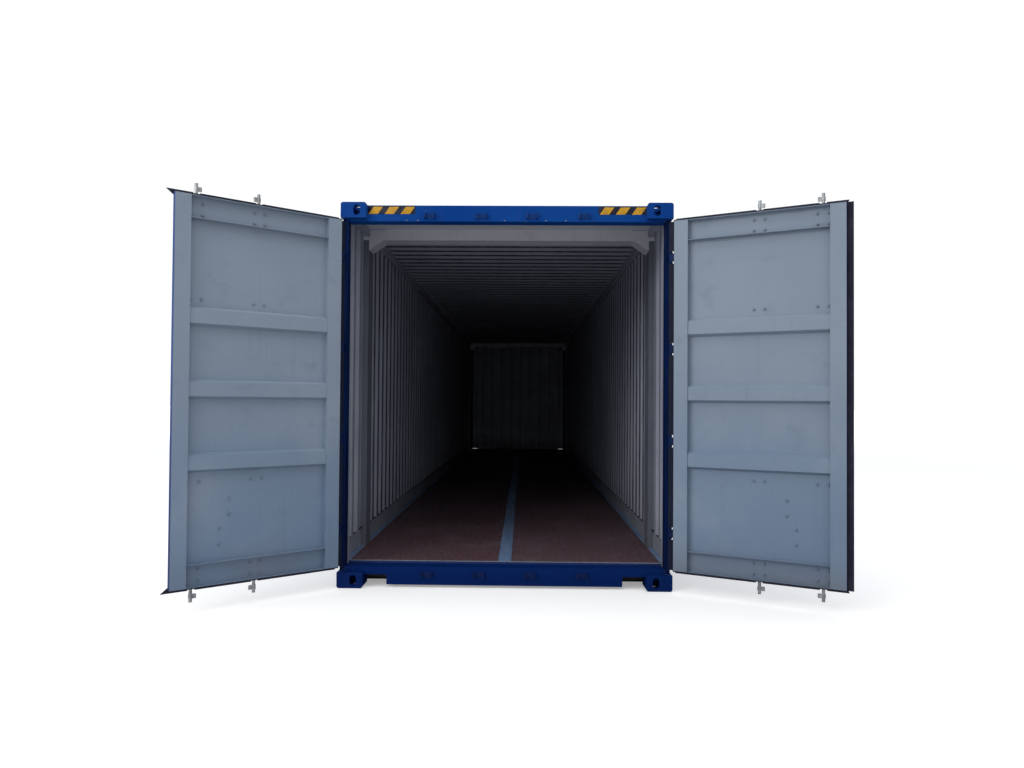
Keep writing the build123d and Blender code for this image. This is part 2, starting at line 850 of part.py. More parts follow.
# the right door closes last and its seal overlaps the gap between the doors
doors = (
    ("left", 1, left_door_open, False, gasket_lip_reaches[0]),
    ("right", -1, right_door_open, True, gasket_lip_reaches[1]),
)
for name, side, opened, overlaps, lip_reach in doors:
    leaf = leaf_plane(side, opened)
    inner_faces = (side * leaf_outer_depth, side * leaf_inner_depth)
    panel_start = leaf_start + leaf_tube_width
    panel_end = leaf_end - leaf_tube_width

    # frame: two upright tubes and two cross channels, open towards the hold
    with BuildPart(leaf) as door_frame:
        for start in (leaf_start, panel_end):
            bar((start, start + leaf_tube_width), inner_faces, (leaf_bottom, leaf_top))
            bar(
                (start + leaf_tube_wall, start + leaf_tube_width - leaf_tube_wall),
                (
                    side * (leaf_outer_depth + leaf_tube_wall),
                    side * (leaf_inner_depth - leaf_tube_wall),
                ),
                (leaf_bottom + leaf_tube_wall, leaf_top - leaf_tube_wall),
                mode=Mode.SUBTRACT,
            )
        for bottom in (leaf_bottom, leaf_top - leaf_channel_height):
            bar(
                (panel_start, panel_end),
                (side * leaf_outer_depth, side * (leaf_inner_depth - leaf_channel_setback)),
                (bottom, bottom + leaf_channel_height),
            )
            bar(
                (panel_start, panel_end),
                (
                    side * (leaf_outer_depth + leaf_channel_wall),
                    side * (leaf_inner_depth - leaf_channel_setback),
                ),
                (bottom + leaf_channel_wall, bottom + leaf_channel_height - leaf_channel_wall),
                mode=Mode.SUBTRACT,
            )
    save(door_frame, f"door_{name}_frame")

    # panel: one sheet pressed into three level ribs
    panel_bottom = leaf_bottom + leaf_channel_height
    panel_top = leaf_top - leaf_channel_height
    outline = [(side * leaf_outer_depth, panel_bottom)]
    for level in rib_levels:
        outline += [
            (side * leaf_outer_depth, level - rib_height / 2),
            (side * (leaf_outer_depth + rib_depth), level - rib_height / 2 + rib_slope),
            (side * (leaf_outer_depth + rib_depth), level + rib_height / 2 - rib_slope),
            (side * leaf_outer_depth, level + rib_height / 2),
        ]
    outline.append((side * leaf_outer_depth, panel_top))
    with BuildPart() as door_panel:
        with BuildSketch(across_plane(leaf, panel_start)):
            pressing(outline, steel_sheet, Side.RIGHT if side > 0 else Side.LEFT)
        extrude(amount=panel_end - panel_start)
    save(door_panel, f"door_{name}_panel")

    # rubber seal on the hinge side, the top and the bottom; one door has a fin past its free edge
    seal_depths = (side * gasket_depths[0], side * gasket_depths[1])
    seal_levels = (leaf_bottom - gasket_end_projection, leaf_top + gasket_end_projection)
    with BuildPart(leaf) as door_gasket:
        bar(
            (leaf_start - gasket_side_projection, leaf_end),
            seal_depths,
            seal_levels,
        )
        bar((leaf_start, leaf_end), seal_depths, (leaf_bottom, leaf_top), mode=Mode.SUBTRACT)
        if overlaps:
            bar(
                (leaf_end, leaf_end + gasket_fin),
                (side * gasket_depths[0], side * (gasket_depths[0] + gasket_fin_thickness)),
                seal_levels,
            )
        # lips past the upper and lower edges, on the outer face, open where the rods pass
        for edge, away in ((leaf_top, 1), (leaf_bottom, -1)):
            seat = edge - away * gasket_lip_seat
            tip = edge + away * gasket_lip_rise
            bar(
                (leaf_start, leaf_end),
                (side * gasket_lip_depth, side * leaf_outer_depth),
                (seat, edge),
            )
            with BuildSketch(face_plane(leaf, 0, side * gasket_lip_depth, 0)):
                with BuildLine():
                    Polyline(
                        (leaf_start, -seat),
                        (leaf_end, -seat),
                        (leaf_end + lip_reach, -tip),
                        (leaf_start, -tip),
                        close=True,
                    )
                make_face()
            extrude(amount=side * gasket_fin_thickness)
            for across in rod_across:
                along = hinge_pin_across - across
                rod_gap = rod_diameter / 2 + gasket_rod_clearance
                bar(
                    (along - rod_gap, along + rod_gap),
                    (side * gasket_lip_depth, side * leaf_outer_depth),
                    (seat, tip),
                    mode=Mode.SUBTRACT,
                )
    save(door_gasket, f"door_{name}_gasket")

    # hinge blades on the outer face, each with a bored knuckle at the pin
    blade_far = leaf_outer_depth - hinge_blade_standoff
    with BuildPart(leaf) as door_hinges:
        for level in hinge_levels:
            bottom = level - hinge_knuckle_height / 2
            top = level + hinge_knuckle_height / 2
            with Locations((0, 0, bottom)):
                Cylinder(hinge_knuckle_radius, hinge_knuckle_height, align=middle_low)
            bar(
                (0, hinge_blade_length),
                (side * (blade_far - hinge_blade_thickness), side * blade_far),
                (bottom, top),
            )
            bar(
                (leaf_start + hinge_blade_standoff, hinge_blade_length),
                (side * blade_far, side * leaf_outer_depth),
                (bottom, top),
            )
            with Locations((0, 0, bottom)):
                Cylinder(
                    hinge_pin_diameter / 2 + hinge_bore_clearance,
                    hinge_knuckle_height,
                    align=middle_low,
                    mode=Mode.SUBTRACT,
                )
    save(door_hinges, f"door_{name}_hinges")

    # guides that hold the lock rods on the outer face
    ring_inner = rod_diameter / 2 + bracket_clearance
    ring_outer = ring_inner + bracket_wall
    plate_near = ring_inner
    strap_turn = 180 / strap_sides
    arm_half = handle_thickness / 2
    with BuildPart(leaf) as rod_fittings:
        for across in rod_across:
            along = hinge_pin_across - across
            for level in bracket_levels:
                with BuildSketch(leaf.offset(level - bracket_height / 2)):
                    with Locations((along, 0)):
                        RegularPolygon(ring_outer, strap_sides, major_radius=False, rotation=strap_turn)
                    with Locations((along, side * (plate_near + leaf_outer_depth) / 2)):
                        Rectangle(bracket_width, leaf_outer_depth - plate_near)
                    with Locations((along, 0)):
                        RegularPolygon(
                            ring_inner,
                            strap_sides,
                            major_radius=False,
                            rotation=strap_turn,
                            mode=Mode.SUBTRACT,
                        )
                    with Locations((along, side * (leaf_outer_depth + ring_outer / 2))):
                        Rectangle(bracket_width, ring_outer, mode=Mode.SUBTRACT)
                extrude(amount=bracket_height)
        # catches beside the handles, each a shelf below and a keep turned up above
        for across, level in zip(retainer_across, handle_levels):
            along = hinge_pin_across - across
            sides = (along - retainer_width / 2, along + retainer_width / 2)
            reach = (-side * retainer_reach, side * plate_near)
            shelf_top = level - handle_width / 2 - retainer_gap
            keep_bottom = level + handle_width / 2 + retainer_gap
            bar(
                sides,
                (side * plate_near, side * leaf_outer_depth),
                (level - retainer_plate_half, level + retainer_plate_half),
            )
            bar(sides, reach, (shelf_top - retainer_wall, shelf_top))
            bar(sides, reach, (keep_bottom, keep_bottom + retainer_wall))
            bar(
                sides,
                (-side * retainer_reach, -side * (retainer_reach - retainer_wall)),
                (keep_bottom, keep_bottom + retainer_keep_height),
            )
    save(rod_fittings, f"door_{name}_rod_fittings")

    # lock rods with a cam near each end and a fork for the handle, as turned to locked
    for position, across, level, turn in zip(("inner", "outer"), rod_across, handle_levels, (-1, 1)):
        along = hinge_pin_across - across
        fork_inner = arm_half + handle_clearance
        fork_outer = fork_inner + fork_wall
        fork_length = handle_pivot + 2 * fork_round
        fork_sides = ((fork_inner, fork_outer), (-fork_outer, -fork_inner))
        with BuildPart(leaf) as lock_rod:
            with Locations((along, 0, rod_bottom)):
                Cylinder(shank_diameter / 2, rod_top - rod_bottom, align=middle_low)
            with Locations((along, 0, leaf_bottom + rod_shoulder)):
                Cylinder(rod_diameter / 2, leaf_height - 2 * rod_shoulder, align=middle_low)
            for cam in cam_levels:
                cam_middle = along + turn * (cam_reach - cam_heel) / 2
                cam_plane = leaf.offset(cam - cam_height / 2)
                cut_bar(cam_plane, cam_middle, cam_reach + cam_heel, cam_width, cam_cut, cam_height)
            for start, stop in fork_sides:
                fork_plane = face_plane(leaf, along + turn * handle_pivot / 2, start, level)
                cut_bar(fork_plane, 0, fork_length, 2 * fork_round, fork_cut, stop - start)
        save(lock_rod, f"door_{name}_lock_rod_{position}")

        handle_start = handle_pivot - handle_width / 2
        handle_middle = along + turn * (handle_start + handle_length) / 2
        with BuildPart(leaf) as rod_handle:
            handle_plane = face_plane(leaf, handle_middle, -arm_half, level)
            handle_size = (handle_length - handle_start, handle_width)
            cut_bar(handle_plane, 0, *handle_size, handle_cut, handle_thickness)
        save(rod_handle, f"door_{name}_handle_{position}")
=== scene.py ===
import json
import math
import random

import bpy
from mathutils import Matrix, Vector


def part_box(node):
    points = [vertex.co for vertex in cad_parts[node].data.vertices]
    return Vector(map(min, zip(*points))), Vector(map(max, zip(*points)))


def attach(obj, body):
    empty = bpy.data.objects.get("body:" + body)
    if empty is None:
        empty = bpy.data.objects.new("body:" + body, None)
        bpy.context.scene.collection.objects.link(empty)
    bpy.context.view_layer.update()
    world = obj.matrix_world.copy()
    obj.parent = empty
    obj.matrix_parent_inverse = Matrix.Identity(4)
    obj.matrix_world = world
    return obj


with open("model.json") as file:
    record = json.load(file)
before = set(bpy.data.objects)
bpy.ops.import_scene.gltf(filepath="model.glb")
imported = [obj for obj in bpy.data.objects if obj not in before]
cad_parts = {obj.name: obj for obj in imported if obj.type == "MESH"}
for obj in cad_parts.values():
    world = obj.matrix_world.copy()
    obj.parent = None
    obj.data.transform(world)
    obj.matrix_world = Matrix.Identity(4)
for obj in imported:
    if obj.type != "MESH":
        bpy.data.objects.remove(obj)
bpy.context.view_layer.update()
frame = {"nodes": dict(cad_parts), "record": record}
nodes = frame["nodes"]
random.seed(7)

# places and sizes in metres, most of them taken from the part
fittings_low, fittings_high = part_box("bottom_fittings")
REAR = fittings_low.x
HALF_WIDTH = fittings_high.y
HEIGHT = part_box("top_fittings")[1].z
FITTING_TOP = fittings_high.z
FITTING_LENGTH = 0.178
FITTING_INNER = HALF_WIDTH - 0.193
POST_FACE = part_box("door_sill")[0].x
POST_END = REAR + FITTING_LENGTH
OPENING_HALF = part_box("door_sill")[1].y
POST_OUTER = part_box("rear_posts")[1].y
POST_STEP = 0.007
SILL_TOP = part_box("door_sill")[1].z
HEADER_BOTTOM, HEADER_TOP = (corner.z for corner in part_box("door_header"))
FLOOR_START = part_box("floor_left")[0].x
FLOOR_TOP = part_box("floor_left")[1].z
WALL_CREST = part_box("side_wall_left")[0].y
ROOF_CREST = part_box("roof_panel")[0].z
FRONT_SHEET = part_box("front_wall")[0].x
MIDDLE_POST_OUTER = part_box("middle_posts")[1].y
LEAF_BOTTOM, LEAF_TOP = (corner.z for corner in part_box("door_left_frame"))
LEAF_HEIGHT = LEAF_TOP - LEAF_BOTTOM
LEAF_START = 0.044
LEAF_END = 1.200
LEAF_OUTER = 0.022
WEB = 0.025
SHEET = 0.024
GUIDE_PLATE_FACE = 0.018
HINGE_BLADE_FACE = 0.007
HINGE_BOLTS_ALONG = (0.075, 0.122)
SEAL_OVERLAP = 0.009
SEAL_GAP = 0.0455
PIN_X = REAR + 0.024
PIN_ACROSS = 1.234
OPENED = {"left": 141.0, "right": 153.3}
SIDES = {"left": 1, "right": -1}
ROD_ALONG = {"inner": 1.054, "outer": 0.639}
HANDLE_LEVELS = {"inner": 0.680, "outer": 0.484}
HANDLE_TURN = {"inner": -1, "outer": 1}
HANDLE_PIVOT = 0.046
CATCH_SHIFT = {"inner": -0.230, "outer": 0.245}
GUIDE_LEVELS = [LEAF_BOTTOM + share * LEAF_HEIGHT for share in (0.028, 0.266, 0.736, 0.967)]
HINGE_LEVELS = [LEAF_BOTTOM + 0.260 + index * (LEAF_HEIGHT - 0.520) / 3 for index in range(4)]
KEEPER_LEVELS = (0.100, HEIGHT - 0.095)
KEEPER_EDGES = (-0.030, 0.052)
LUG_EDGES = (0.031, 0.045, -0.031, -0.045)
LUG_ENDS = (-0.014, 0.004)
PIN_REACH = 0.045
CROSS_PITCH = 0.305
SCREWS_ACROSS = (0.085, 0.290, 0.500, 0.710, 0.920, 1.130)
HEADER_SCREWS_ACROSS = (0.756, 0.672, 0.016, -0.297, -0.448)
PLYWOOD_LENGTH = 2.242
PLY = 0.0032
FRAME_WELD = 0.0032
LUG_WELD = 0.0026
KEEPER_WELD = 0.0028
STRIPE_SIZE = (0.364, 0.061)
STRIPE_PITCH = STRIPE_SIZE[0] / 3
STRIPE_ACROSS = 0.875
STRIPE_LEVEL = 2.847

# the photograph's camera: sizes in pixels, place in metres, angles in radians
PHOTO_SIZE = (1024, 768)
PHOTO_CENTRE = (511.26, 389.39)
FOCAL_PIXELS = 724.26
SENSOR_WIDTH = 36.0
CAMERA_PLACE = (-12.2644, -0.1336, 1.3984)
CAMERA_YAW, CAMERA_PITCH, CAMERA_ROLL = -0.0164, 0.0173, 0.0074


class Shade:
    """One material's node tree, with a short call for each kind of node it needs."""

    def __init__(self, name):
        self.material = bpy.data.materials.new(name)
        self.material.use_nodes = True
        self.tree = self.material.node_tree
        self.tree.nodes.clear()
        coords = self.tree.nodes.new("ShaderNodeTexCoord")
        self.place = coords.outputs["Object"]
        self.facing = coords.outputs["Normal"]

    def put(self, socket, value):
        if isinstance(value, bpy.types.NodeSocket):
            self.tree.links.new(value, socket)
        else:
            socket.default_value = value

    def math(self, operation, first, second=0.5, clamp=False):
        node = self.tree.nodes.new("ShaderNodeMath")
        node.operation = operation
        node.use_clamp = clamp
        self.put(node.inputs[0], first)
        self.put(node.inputs[1], second)
        return node.outputs[0]

    def times(self, first, *others, clamp=False):
        for other in others:
            first = self.math("MULTIPLY", first, other, clamp)
        return first

    def plus(self, first, second, clamp=False):
        return self.math("ADD", first, second, clamp)

    def minus(self, first, second, clamp=False):
        return self.math("SUBTRACT", first, second, clamp)

    def absolute(self, value):
        return self.math("ABSOLUTE", value)

    def dot(self, first, second):
        node = self.tree.nodes.new("ShaderNodeVectorMath")
        node.operation = "DOT_PRODUCT"
        self.put(node.inputs[0], first)
        self.put(node.inputs[1], second)
        return node.outputs["Value"]

    def scaled(self, stretch, shift=(0, 0, 0)):
        node = self.tree.nodes.new("ShaderNodeMapping")
        self.put(node.inputs["Vector"], self.place)
        self.put(node.inputs["Scale"], stretch)
        self.put(node.inputs["Location"], shift)
        return node.outputs[0]

    def split(self, vector):
        node = self.tree.nodes.new("ShaderNodeSeparateXYZ")
        self.put(node.inputs[0], vector)
        return node.outputs

    def noise(self, stretch, detail=4.0, roughness=0.55, shift=(0, 0, 0), distortion=0.0):
        node = self.tree.nodes.new("ShaderNodeTexNoise")
        if isinstance(stretch, (int, float)):
            stretch = (stretch, stretch, stretch)
        self.put(node.inputs["Vector"], self.scaled(stretch, shift))
        node.inputs["Scale"].default_value = 1.0
        node.inputs["Detail"].default_value = detail
        node.inputs["Roughness"].default_value = roughness
        node.inputs["Distortion"].default_value = distortion
        return node.outputs["Fac"]

    def cells(self, stretch, feature="F1", shift=(0, 0, 0)):
        node = self.tree.nodes.new("ShaderNodeTexVoronoi")
        node.feature = feature
        if isinstance(stretch, (int, float)):
            stretch = (stretch, stretch, stretch)
        self.put(node.inputs["Vector"], self.scaled(stretch, shift))
        node.inputs["Scale"].default_value = 1.0
        return node.outputs

    def ramp(self, value, low, high, start=0.0, stop=1.0):
        node = self.tree.nodes.new("ShaderNodeMapRange")
        node.interpolation_type = "SMOOTHSTEP"
        self.put(node.inputs["Value"], value)
        node.inputs["From Min"].default_value = low
        node.inputs["From Max"].default_value = high
        node.inputs["To Min"].default_value = start
        node.inputs["To Max"].default_value = stop
        return node.outputs[0]

    def below(self, value, low, high):
        # 1 up to low, 0 from high on
        return self.ramp(value, low, high, 1.0, 0.0)

    def mix(self, share, first, second, blend="MIX"):
        node = self.tree.nodes.new("ShaderNodeMix")
        node.data_type = "RGBA"
        node.blend_type = blend
        self.put(node.inputs["Factor"], share)
        for socket, value in ((node.inputs[6], first), (node.inputs[7], second)):
            if isinstance(value, tuple):
                value = (*value, 1.0)
            self.put(socket, value)
        return node.outputs[2]

    def blend(self, share, first, second):
        node = self.tree.nodes.new("ShaderNodeMix")
        node.data_type = "FLOAT"
        self.put(node.inputs["Factor"], share)
        self.put(node.inputs[2], first)
        self.put(node.inputs[3], second)
        return node.outputs[0]

    def lines(self, value, centre, half):
        # 1 on the contour of a noise where it crosses centre, 0 elsewhere
        away = self.math("ABSOLUTE", self.math("SUBTRACT", value, centre))
        return self.ramp(away, 0.0, half, 1.0, 0.0)

    def edges(self, radius):
        # 1 along sharp outer edges, from the difference between the rounded and the true normal
        bevel = self.tree.nodes.new("ShaderNodeBevel")
        bevel.samples = 4
        bevel.inputs["Radius"].default_value = radius
        geometry = self.tree.nodes.new("ShaderNodeNewGeometry")
        same = self.dot(bevel.outputs[0], geometry.outputs["Normal"])
        return self.ramp(same, 0.75, 0.985, 1.0, 0.0)

    def finish(self, colour, roughness, height=None, depth=0.001, metallic=0.0, gloss=0.5):
        shader = self.tree.nodes.new("ShaderNodeBsdfPrincipled")
        if isinstance(colour, tuple):
            colour = (*colour, 1.0)
        self.put(shader.inputs["Base Color"], colour)
        self.put(shader.inputs["Roughness"], roughness)
        self.put(shader.inputs["Metallic"], metallic)
        shader.inputs["Specular IOR Level"].default_value = gloss
        if height is not None:
            bump = self.tree.nodes.new("ShaderNodeBump")
            bump.inputs["Strength"].default_value = 1.0
            bump.inputs["Distance"].default_value = depth
            self.put(bump.inputs["Height"], height)
            self.put(shader.inputs["Normal"], bump.outputs[0])
        output = self.tree.nodes.new("ShaderNodeOutputMaterial")
        self.put(output.inputs["Surface"], shader.outputs[0])
        return self.material


BLUE = (0.001, 0.046, 0.255)
BLUE_FADED = (0.008, 0.078, 0.320)
BLUE_DARK = (0.000, 0.010, 0.085)
NAVY = (0.002, 0.008, 0.042)
GREY = (0.300, 0.322, 0.395)
GREY_LIGHT = (0.420, 0.445, 0.520)
GREY_DARK = (0.150, 0.160, 0.190)
DOOR = (0.250, 0.310, 0.393)
DOOR_LIGHT = (0.302, 0.358, 0.438)
# painted shade for the lower parts of the doors' inner faces
DOOR_LOW_SHADE = (0.165, 0.235, 0.345)
DOOR_DARK = (0.130, 0.170, 0.235)
RUST = (0.150, 0.050, 0.017)
RUST_DARK = (0.050, 0.020, 0.011)
PRIMER = (0.34, 0.36, 0.37)
DIRT = (0.085, 0.075, 0.068)
CREST_SHADE_TONE = (0.030, 0.034, 0.044)


def scratches(g, stretch, mask, half, distortion, shift):
    """Thin lines where a noise crosses its middle, kept to patches of the mask."""
    noise = g.noise(stretch, 2.0, 0.5, shift=shift, distortion=distortion)
    return g.times(g.lines(noise, 0.5, half), mask)


def rust_spots(g, edge):
    """Rust in grouped specks, more of it low down and on worn edges, with the worn edge itself."""
    height_up = g.split(g.place)[2]
    spots = g.noise(62.0, 3.0, 0.6, shift=(2.0, 2.0, 2.0))
    groups = g.ramp(g.noise(3.6, 4.0, 0.6, shift=(8.0, 1.0, 3.0)), 0.54, 0.74)
    rust = g.times(g.ramp(spots, 0.66, 0.71), groups)
    low = g.ramp(height_up, 0.0, 0.26, 0.30, 0.0)
    rust = g.plus(rust, g.times(low, g.ramp(spots, 0.58, 0.68)), clamp=True)
    worn = 0.0
    if edge:
        worn = g.times(g.edges(0.005), g.ramp(g.noise(16.0, 5.0, 0.65), 0.53, 0.66))
        rust = g.math("MAXIMUM", rust, g.times(worn, g.ramp(spots, 0.48, 0.56)))
    return rust, groups, worn


def aged_paint(g, base, light, dark, wear=1.0, edge=True, grime_top=0.40, low=None, soil=DIRT):
    """Colour, roughness and height of old paint: fading, streaks, scratches, rust and low grime, with painted
    shade towards the bottom where a low colour is given.
    """
    height_up = g.split(g.place)[2]
    cloud = g.noise(1.3, 5.0)
    patch = g.noise((5.0, 5.0, 7.0), 4.0, shift=(3.1, 0.7, 1.9))
    colour = base
    # painted shade: the colour turns to low towards the bottom
    if low is not None:
        colour = g.mix(g.below(height_up, 0.25, 2.10), base, low)
    colour = g.mix(g.ramp(cloud, 0.40, 0.72, 0.0, 0.45), colour, light)
    colour = g.mix(g.ramp(patch, 0.55, 0.80, 0.0, 0.28), colour, dark)
    streak = g.noise((26.0, 26.0, 0.9), 4.0, 0.6, shift=(0.4, 5.2, 0.0))
    colour = g.mix(g.ramp(streak, 0.58, 0.80, 0.0, 0.34 * wear), colour, DIRT)
    pale_streak = g.noise((38.0, 38.0, 1.1), 3.0, 0.5, shift=(7.3, 1.1, 4.0))
    colour = g.mix(g.ramp(pale_streak, 0.64, 0.82, 0.0, 0.22), colour, light)
    scuffed = g.ramp(g.noise(2.3, 3.0, shift=(5.0, 8.0, 2.0)), 0.55, 0.64)
    scuff = scratches(g, (3.4, 3.4, 10.0), scuffed, 0.0040, 0.6, (9.0, 2.0, 6.0))
    colour = g.mix(g.times(scuff, 0.42 * wear), colour, PRIMER)
    fine = scratches(g, (9.0, 9.0, 5.0), g.ramp(patch, 0.50, 0.60), 0.0030, 1.2, (1.0, 4.0, 9.0))
    colour = g.mix(g.times(fine, 0.32), colour, dark)
    rust, groups, worn = rust_spots(g, edge)
    if edge:
        colour = g.mix(g.times(worn, 0.45), colour, PRIMER)
    rust = g.times(rust, wear, clamp=True)
    rust_tone = g.mix(g.ramp(g.noise(90.0, 2.0), 0.4, 0.6), RUST, RUST_DARK)
    colour = g.mix(rust, colour, rust_tone)
    runs = g.ramp(g.noise((30.0, 30.0, 1.6), 3.0, shift=(6.0, 6.0, 0.5)), 0.62, 0.80)
    colour = g.mix(g.times(runs, groups, 0.32 * wear), colour, RUST)
    low_share = g.below(height_up, 0.02, grime_top)
    grime = g.times(low_share, g.ramp(cloud, 0.30, 0.65, 0.12, 0.50))
    colour = g.mix(grime, colour, soil)
    roughness = g.blend(g.ramp(cloud, 0.3, 0.7), 0.44, 0.58)
    roughness = g.plus(roughness, g.times(rust, 0.30))
    roughness = g.plus(roughness, g.times(grime, 0.15), clamp=True)
    peel = g.noise(260.0, 2.0, 0.5)
    dents = g.noise(3.2, 2.0, 0.4, shift=(4.0, 4.0, 4.0))
    height = g.plus(g.times(peel, 0.05), g.times(dents, 2.4))
    height = g.plus(height, g.times(rust, 0.25))
    height = g.minus(height, g.times(scuff, 0.10))
    return colour, roughness, height


def blue_paint(g, wear=1.0, edge=True):
    """The outside blue: bright and a little faded above, darker towards the ground with painted shade."""
    height_up = g.split(g.place)[2]
    tones = (BLUE, BLUE_FADED, BLUE_DARK)
    colour, roughness, height = aged_paint(g, *tones, wear, edge, 0.22, soil=NAVY)
    # painted shade: the blue darkens towards the ground
    low_shade = g.ramp(height_up, 0.15, 1.80, 0.80, 0.0)
    return g.mix(low_shade, colour, BLUE_DARK), roughness, height


def grey_paint(g, wear=0.45):
    """The pale grey of the hold, dirtier towards the floor."""
    return aged_paint(g, GREY, GREY_LIGHT, GREY_DARK, wear, False, 0.62)


def beam_grey(g):
    """The paler grey of the inner frames' beams."""
    return aged_paint(g, (0.52, 0.53, 0.59), (0.58, 0.59, 0.64), GREY, 0.5)


def join(g, share, first, second):
    """Mixes two finishes by a mask."""
    colour = g.mix(share, first[0], second[0])
    return (colour, g.blend(share, first[1], second[1]), g.blend(share, first[2], second[2]))


def frame_paint():
    g = Shade("frame_paint")
    return g.finish(*blue_paint(g), 0.0011, gloss=0.06)


def casting_paint():
    """Blue castings, with the inner frames' ones grey where they look into the hold."""
    g = Shade("casting_paint")
    x, y, z = g.split(g.place)[:3]
    inside = g.below(g.absolute(y), HALF_WIDTH - 0.004, HALF_WIDTH - 0.002)
    middle_frames = g.below(g.absolute(x), -REAR - 0.50, -REAR - 0.40)
    inside = g.times(inside, middle_frames)
    inside = g.times(inside, g.below(z, ROOF_CREST - 0.004, ROOF_CREST - 0.002))
    inside = g.times(inside, g.ramp(z, FLOOR_TOP - 0.002, FLOOR_TOP))
    colour, roughness, height = join(g, inside, blue_paint(g, wear=1.15), beam_grey(g))
    grain = g.noise(420.0, 3.0, 0.7)
    pits = g.below(g.cells(150.0)[0], 0.10, 0.35)
    height = g.plus(height, g.times(grain, 0.35))
    height = g.minus(height, g.times(pits, 0.20))
    return g.finish(colour, g.plus(roughness, 0.06, clamp=True), height, 0.0012, gloss=0.08)


def post_paint():
    """Rear posts: blue outside, near black where the seals press on them, partly seal dirt and partly painted
    shade from the doors, grey in the hold.
    """
    g = Shade("post_paint")
    x, y = g.split(g.place)[:2]
    nx, ny = g.split(g.facing)[:2]
    toward_middle = g.below(g.times(ny, g.math("SIGN", y)), -0.30, -0.20)
    hold = g.times(toward_middle, g.ramp(x, REAR + 0.128, REAR + 0.132))
    colour, roughness, height = join(g, hold, blue_paint(g), grey_paint(g))
    outer_edge = g.below(g.absolute(y), POST_OUTER - 0.012, POST_OUTER - 0.006)
    # near black on the seal faces and the faces toward the opening: seal dirt and painted shade
    sealed_and_shaded = g.times(g.below(nx, -0.6, -0.5), outer_edge)
    sealed_and_shaded = g.math("MAXIMUM", sealed_and_shaded, toward_middle)
    sealed_and_shaded = g.times(sealed_and_shaded, g.minus(1.0, hold))
    smear_and_shade = g.ramp(g.noise((30.0, 30.0, 2.0), 4.0, 0.6, shift=(1.0, 3.0, 0.0)), 0.30, 0.60, 0.70, 0.95)
    colour = g.mix(g.times(sealed_and_shaded, smear_and_shade), colour, NAVY)
    return g.finish(colour, roughness, height, 0.0011, gloss=0.06)


def grease_and_shade_paint(name, least, most):
    """Blue, dark with the dirt and grease of the moving parts that rub on it, and with painted shade."""
    g = Shade(name)
    colour, roughness, height = blue_paint(g)
    # darkening by grease and painted shade
    grease_and_shade = g.ramp(g.noise(24.0, 4.0, 0.6, shift=(6.0, 2.0, 1.0)), 0.30, 0.60, least, most)
    return g.finish(g.mix(grease_and_shade, colour, NAVY), roughness, height, 0.0011, gloss=0.15)


def threshold_paint():
    """The angle under the door edge of the floor: blue on its face, trodden to bare steel on top."""
    g = Shade("threshold_paint")
    colour, roughness = blue_paint(g, edge=False)[:2]
    trodden = g.ramp(g.split(g.facing)[2], 0.4, 0.6)
    rub = g.noise((9.0, 40.0, 9.0), 4.0, 0.6)
    steel = g.mix(g.ramp(rub, 0.35, 0.65), (0.42, 0.46, 0.52), (0.30, 0.34, 0.42))
    return g.finish(g.mix(trodden, colour, steel), g.blend(trodden, roughness, 0.42), rub, 0.0004)


def sheet_seams(g, colour, height, pitch, shift):
    """Upright welds between the sheets of a wall or roof, one to a pitch along the container."""
    along = g.math("DIVIDE", g.plus(g.split(g.place)[0], shift), pitch)
    part = g.absolute(g.minus(g.math("FRACT", along), 0.5))
    seam = g.below(part, 0.0, 0.006 / pitch)
    colour = g.mix(g.times(seam, 0.35), colour, DIRT)
    return colour, g.plus(height, g.times(seam, 0.9))


def two_sided(name, outward, seamed=False, crest=None, within=grey_paint):
    """Sheet steel, blue outside and grey inside; outward says which way is outside.

    The flats that stand furthest into the hold, at the distance crest, are darkened with painted shade, less
    of it near the door.
    """
    g = Shade(name)
    inner = g.below(g.dot(g.facing, outward), -0.04, 0.04)
    colour, roughness, height = join(g, inner, blue_paint(g, 0.8, False), within(g))
    if crest is not None:
        # painted shade on the crest flats, patchy, weaker near the door
        flat = g.below(g.dot(g.place, outward), crest + 0.0015, crest + 0.0050)
        crest_shade = g.ramp(g.noise((14.0, 14.0, 2.5), 4.0, 0.6, shift=(3.0, 3.0, 1.0)), 0.30, 0.62, 0.60, 0.92)
        crest_shade = g.times(crest_shade, g.ramp(g.split(g.place)[0], REAR + 0.50, REAR + 1.20, 0.40, 1.0))
        colour = g.mix(g.times(flat, inner, crest_shade), colour, CREST_SHADE_TONE)
    if seamed:
        colour, height = sheet_seams(g, colour, height, 1.0, 0.5)
    return g.finish(colour, roughness, height, 0.0011, gloss=0.25)


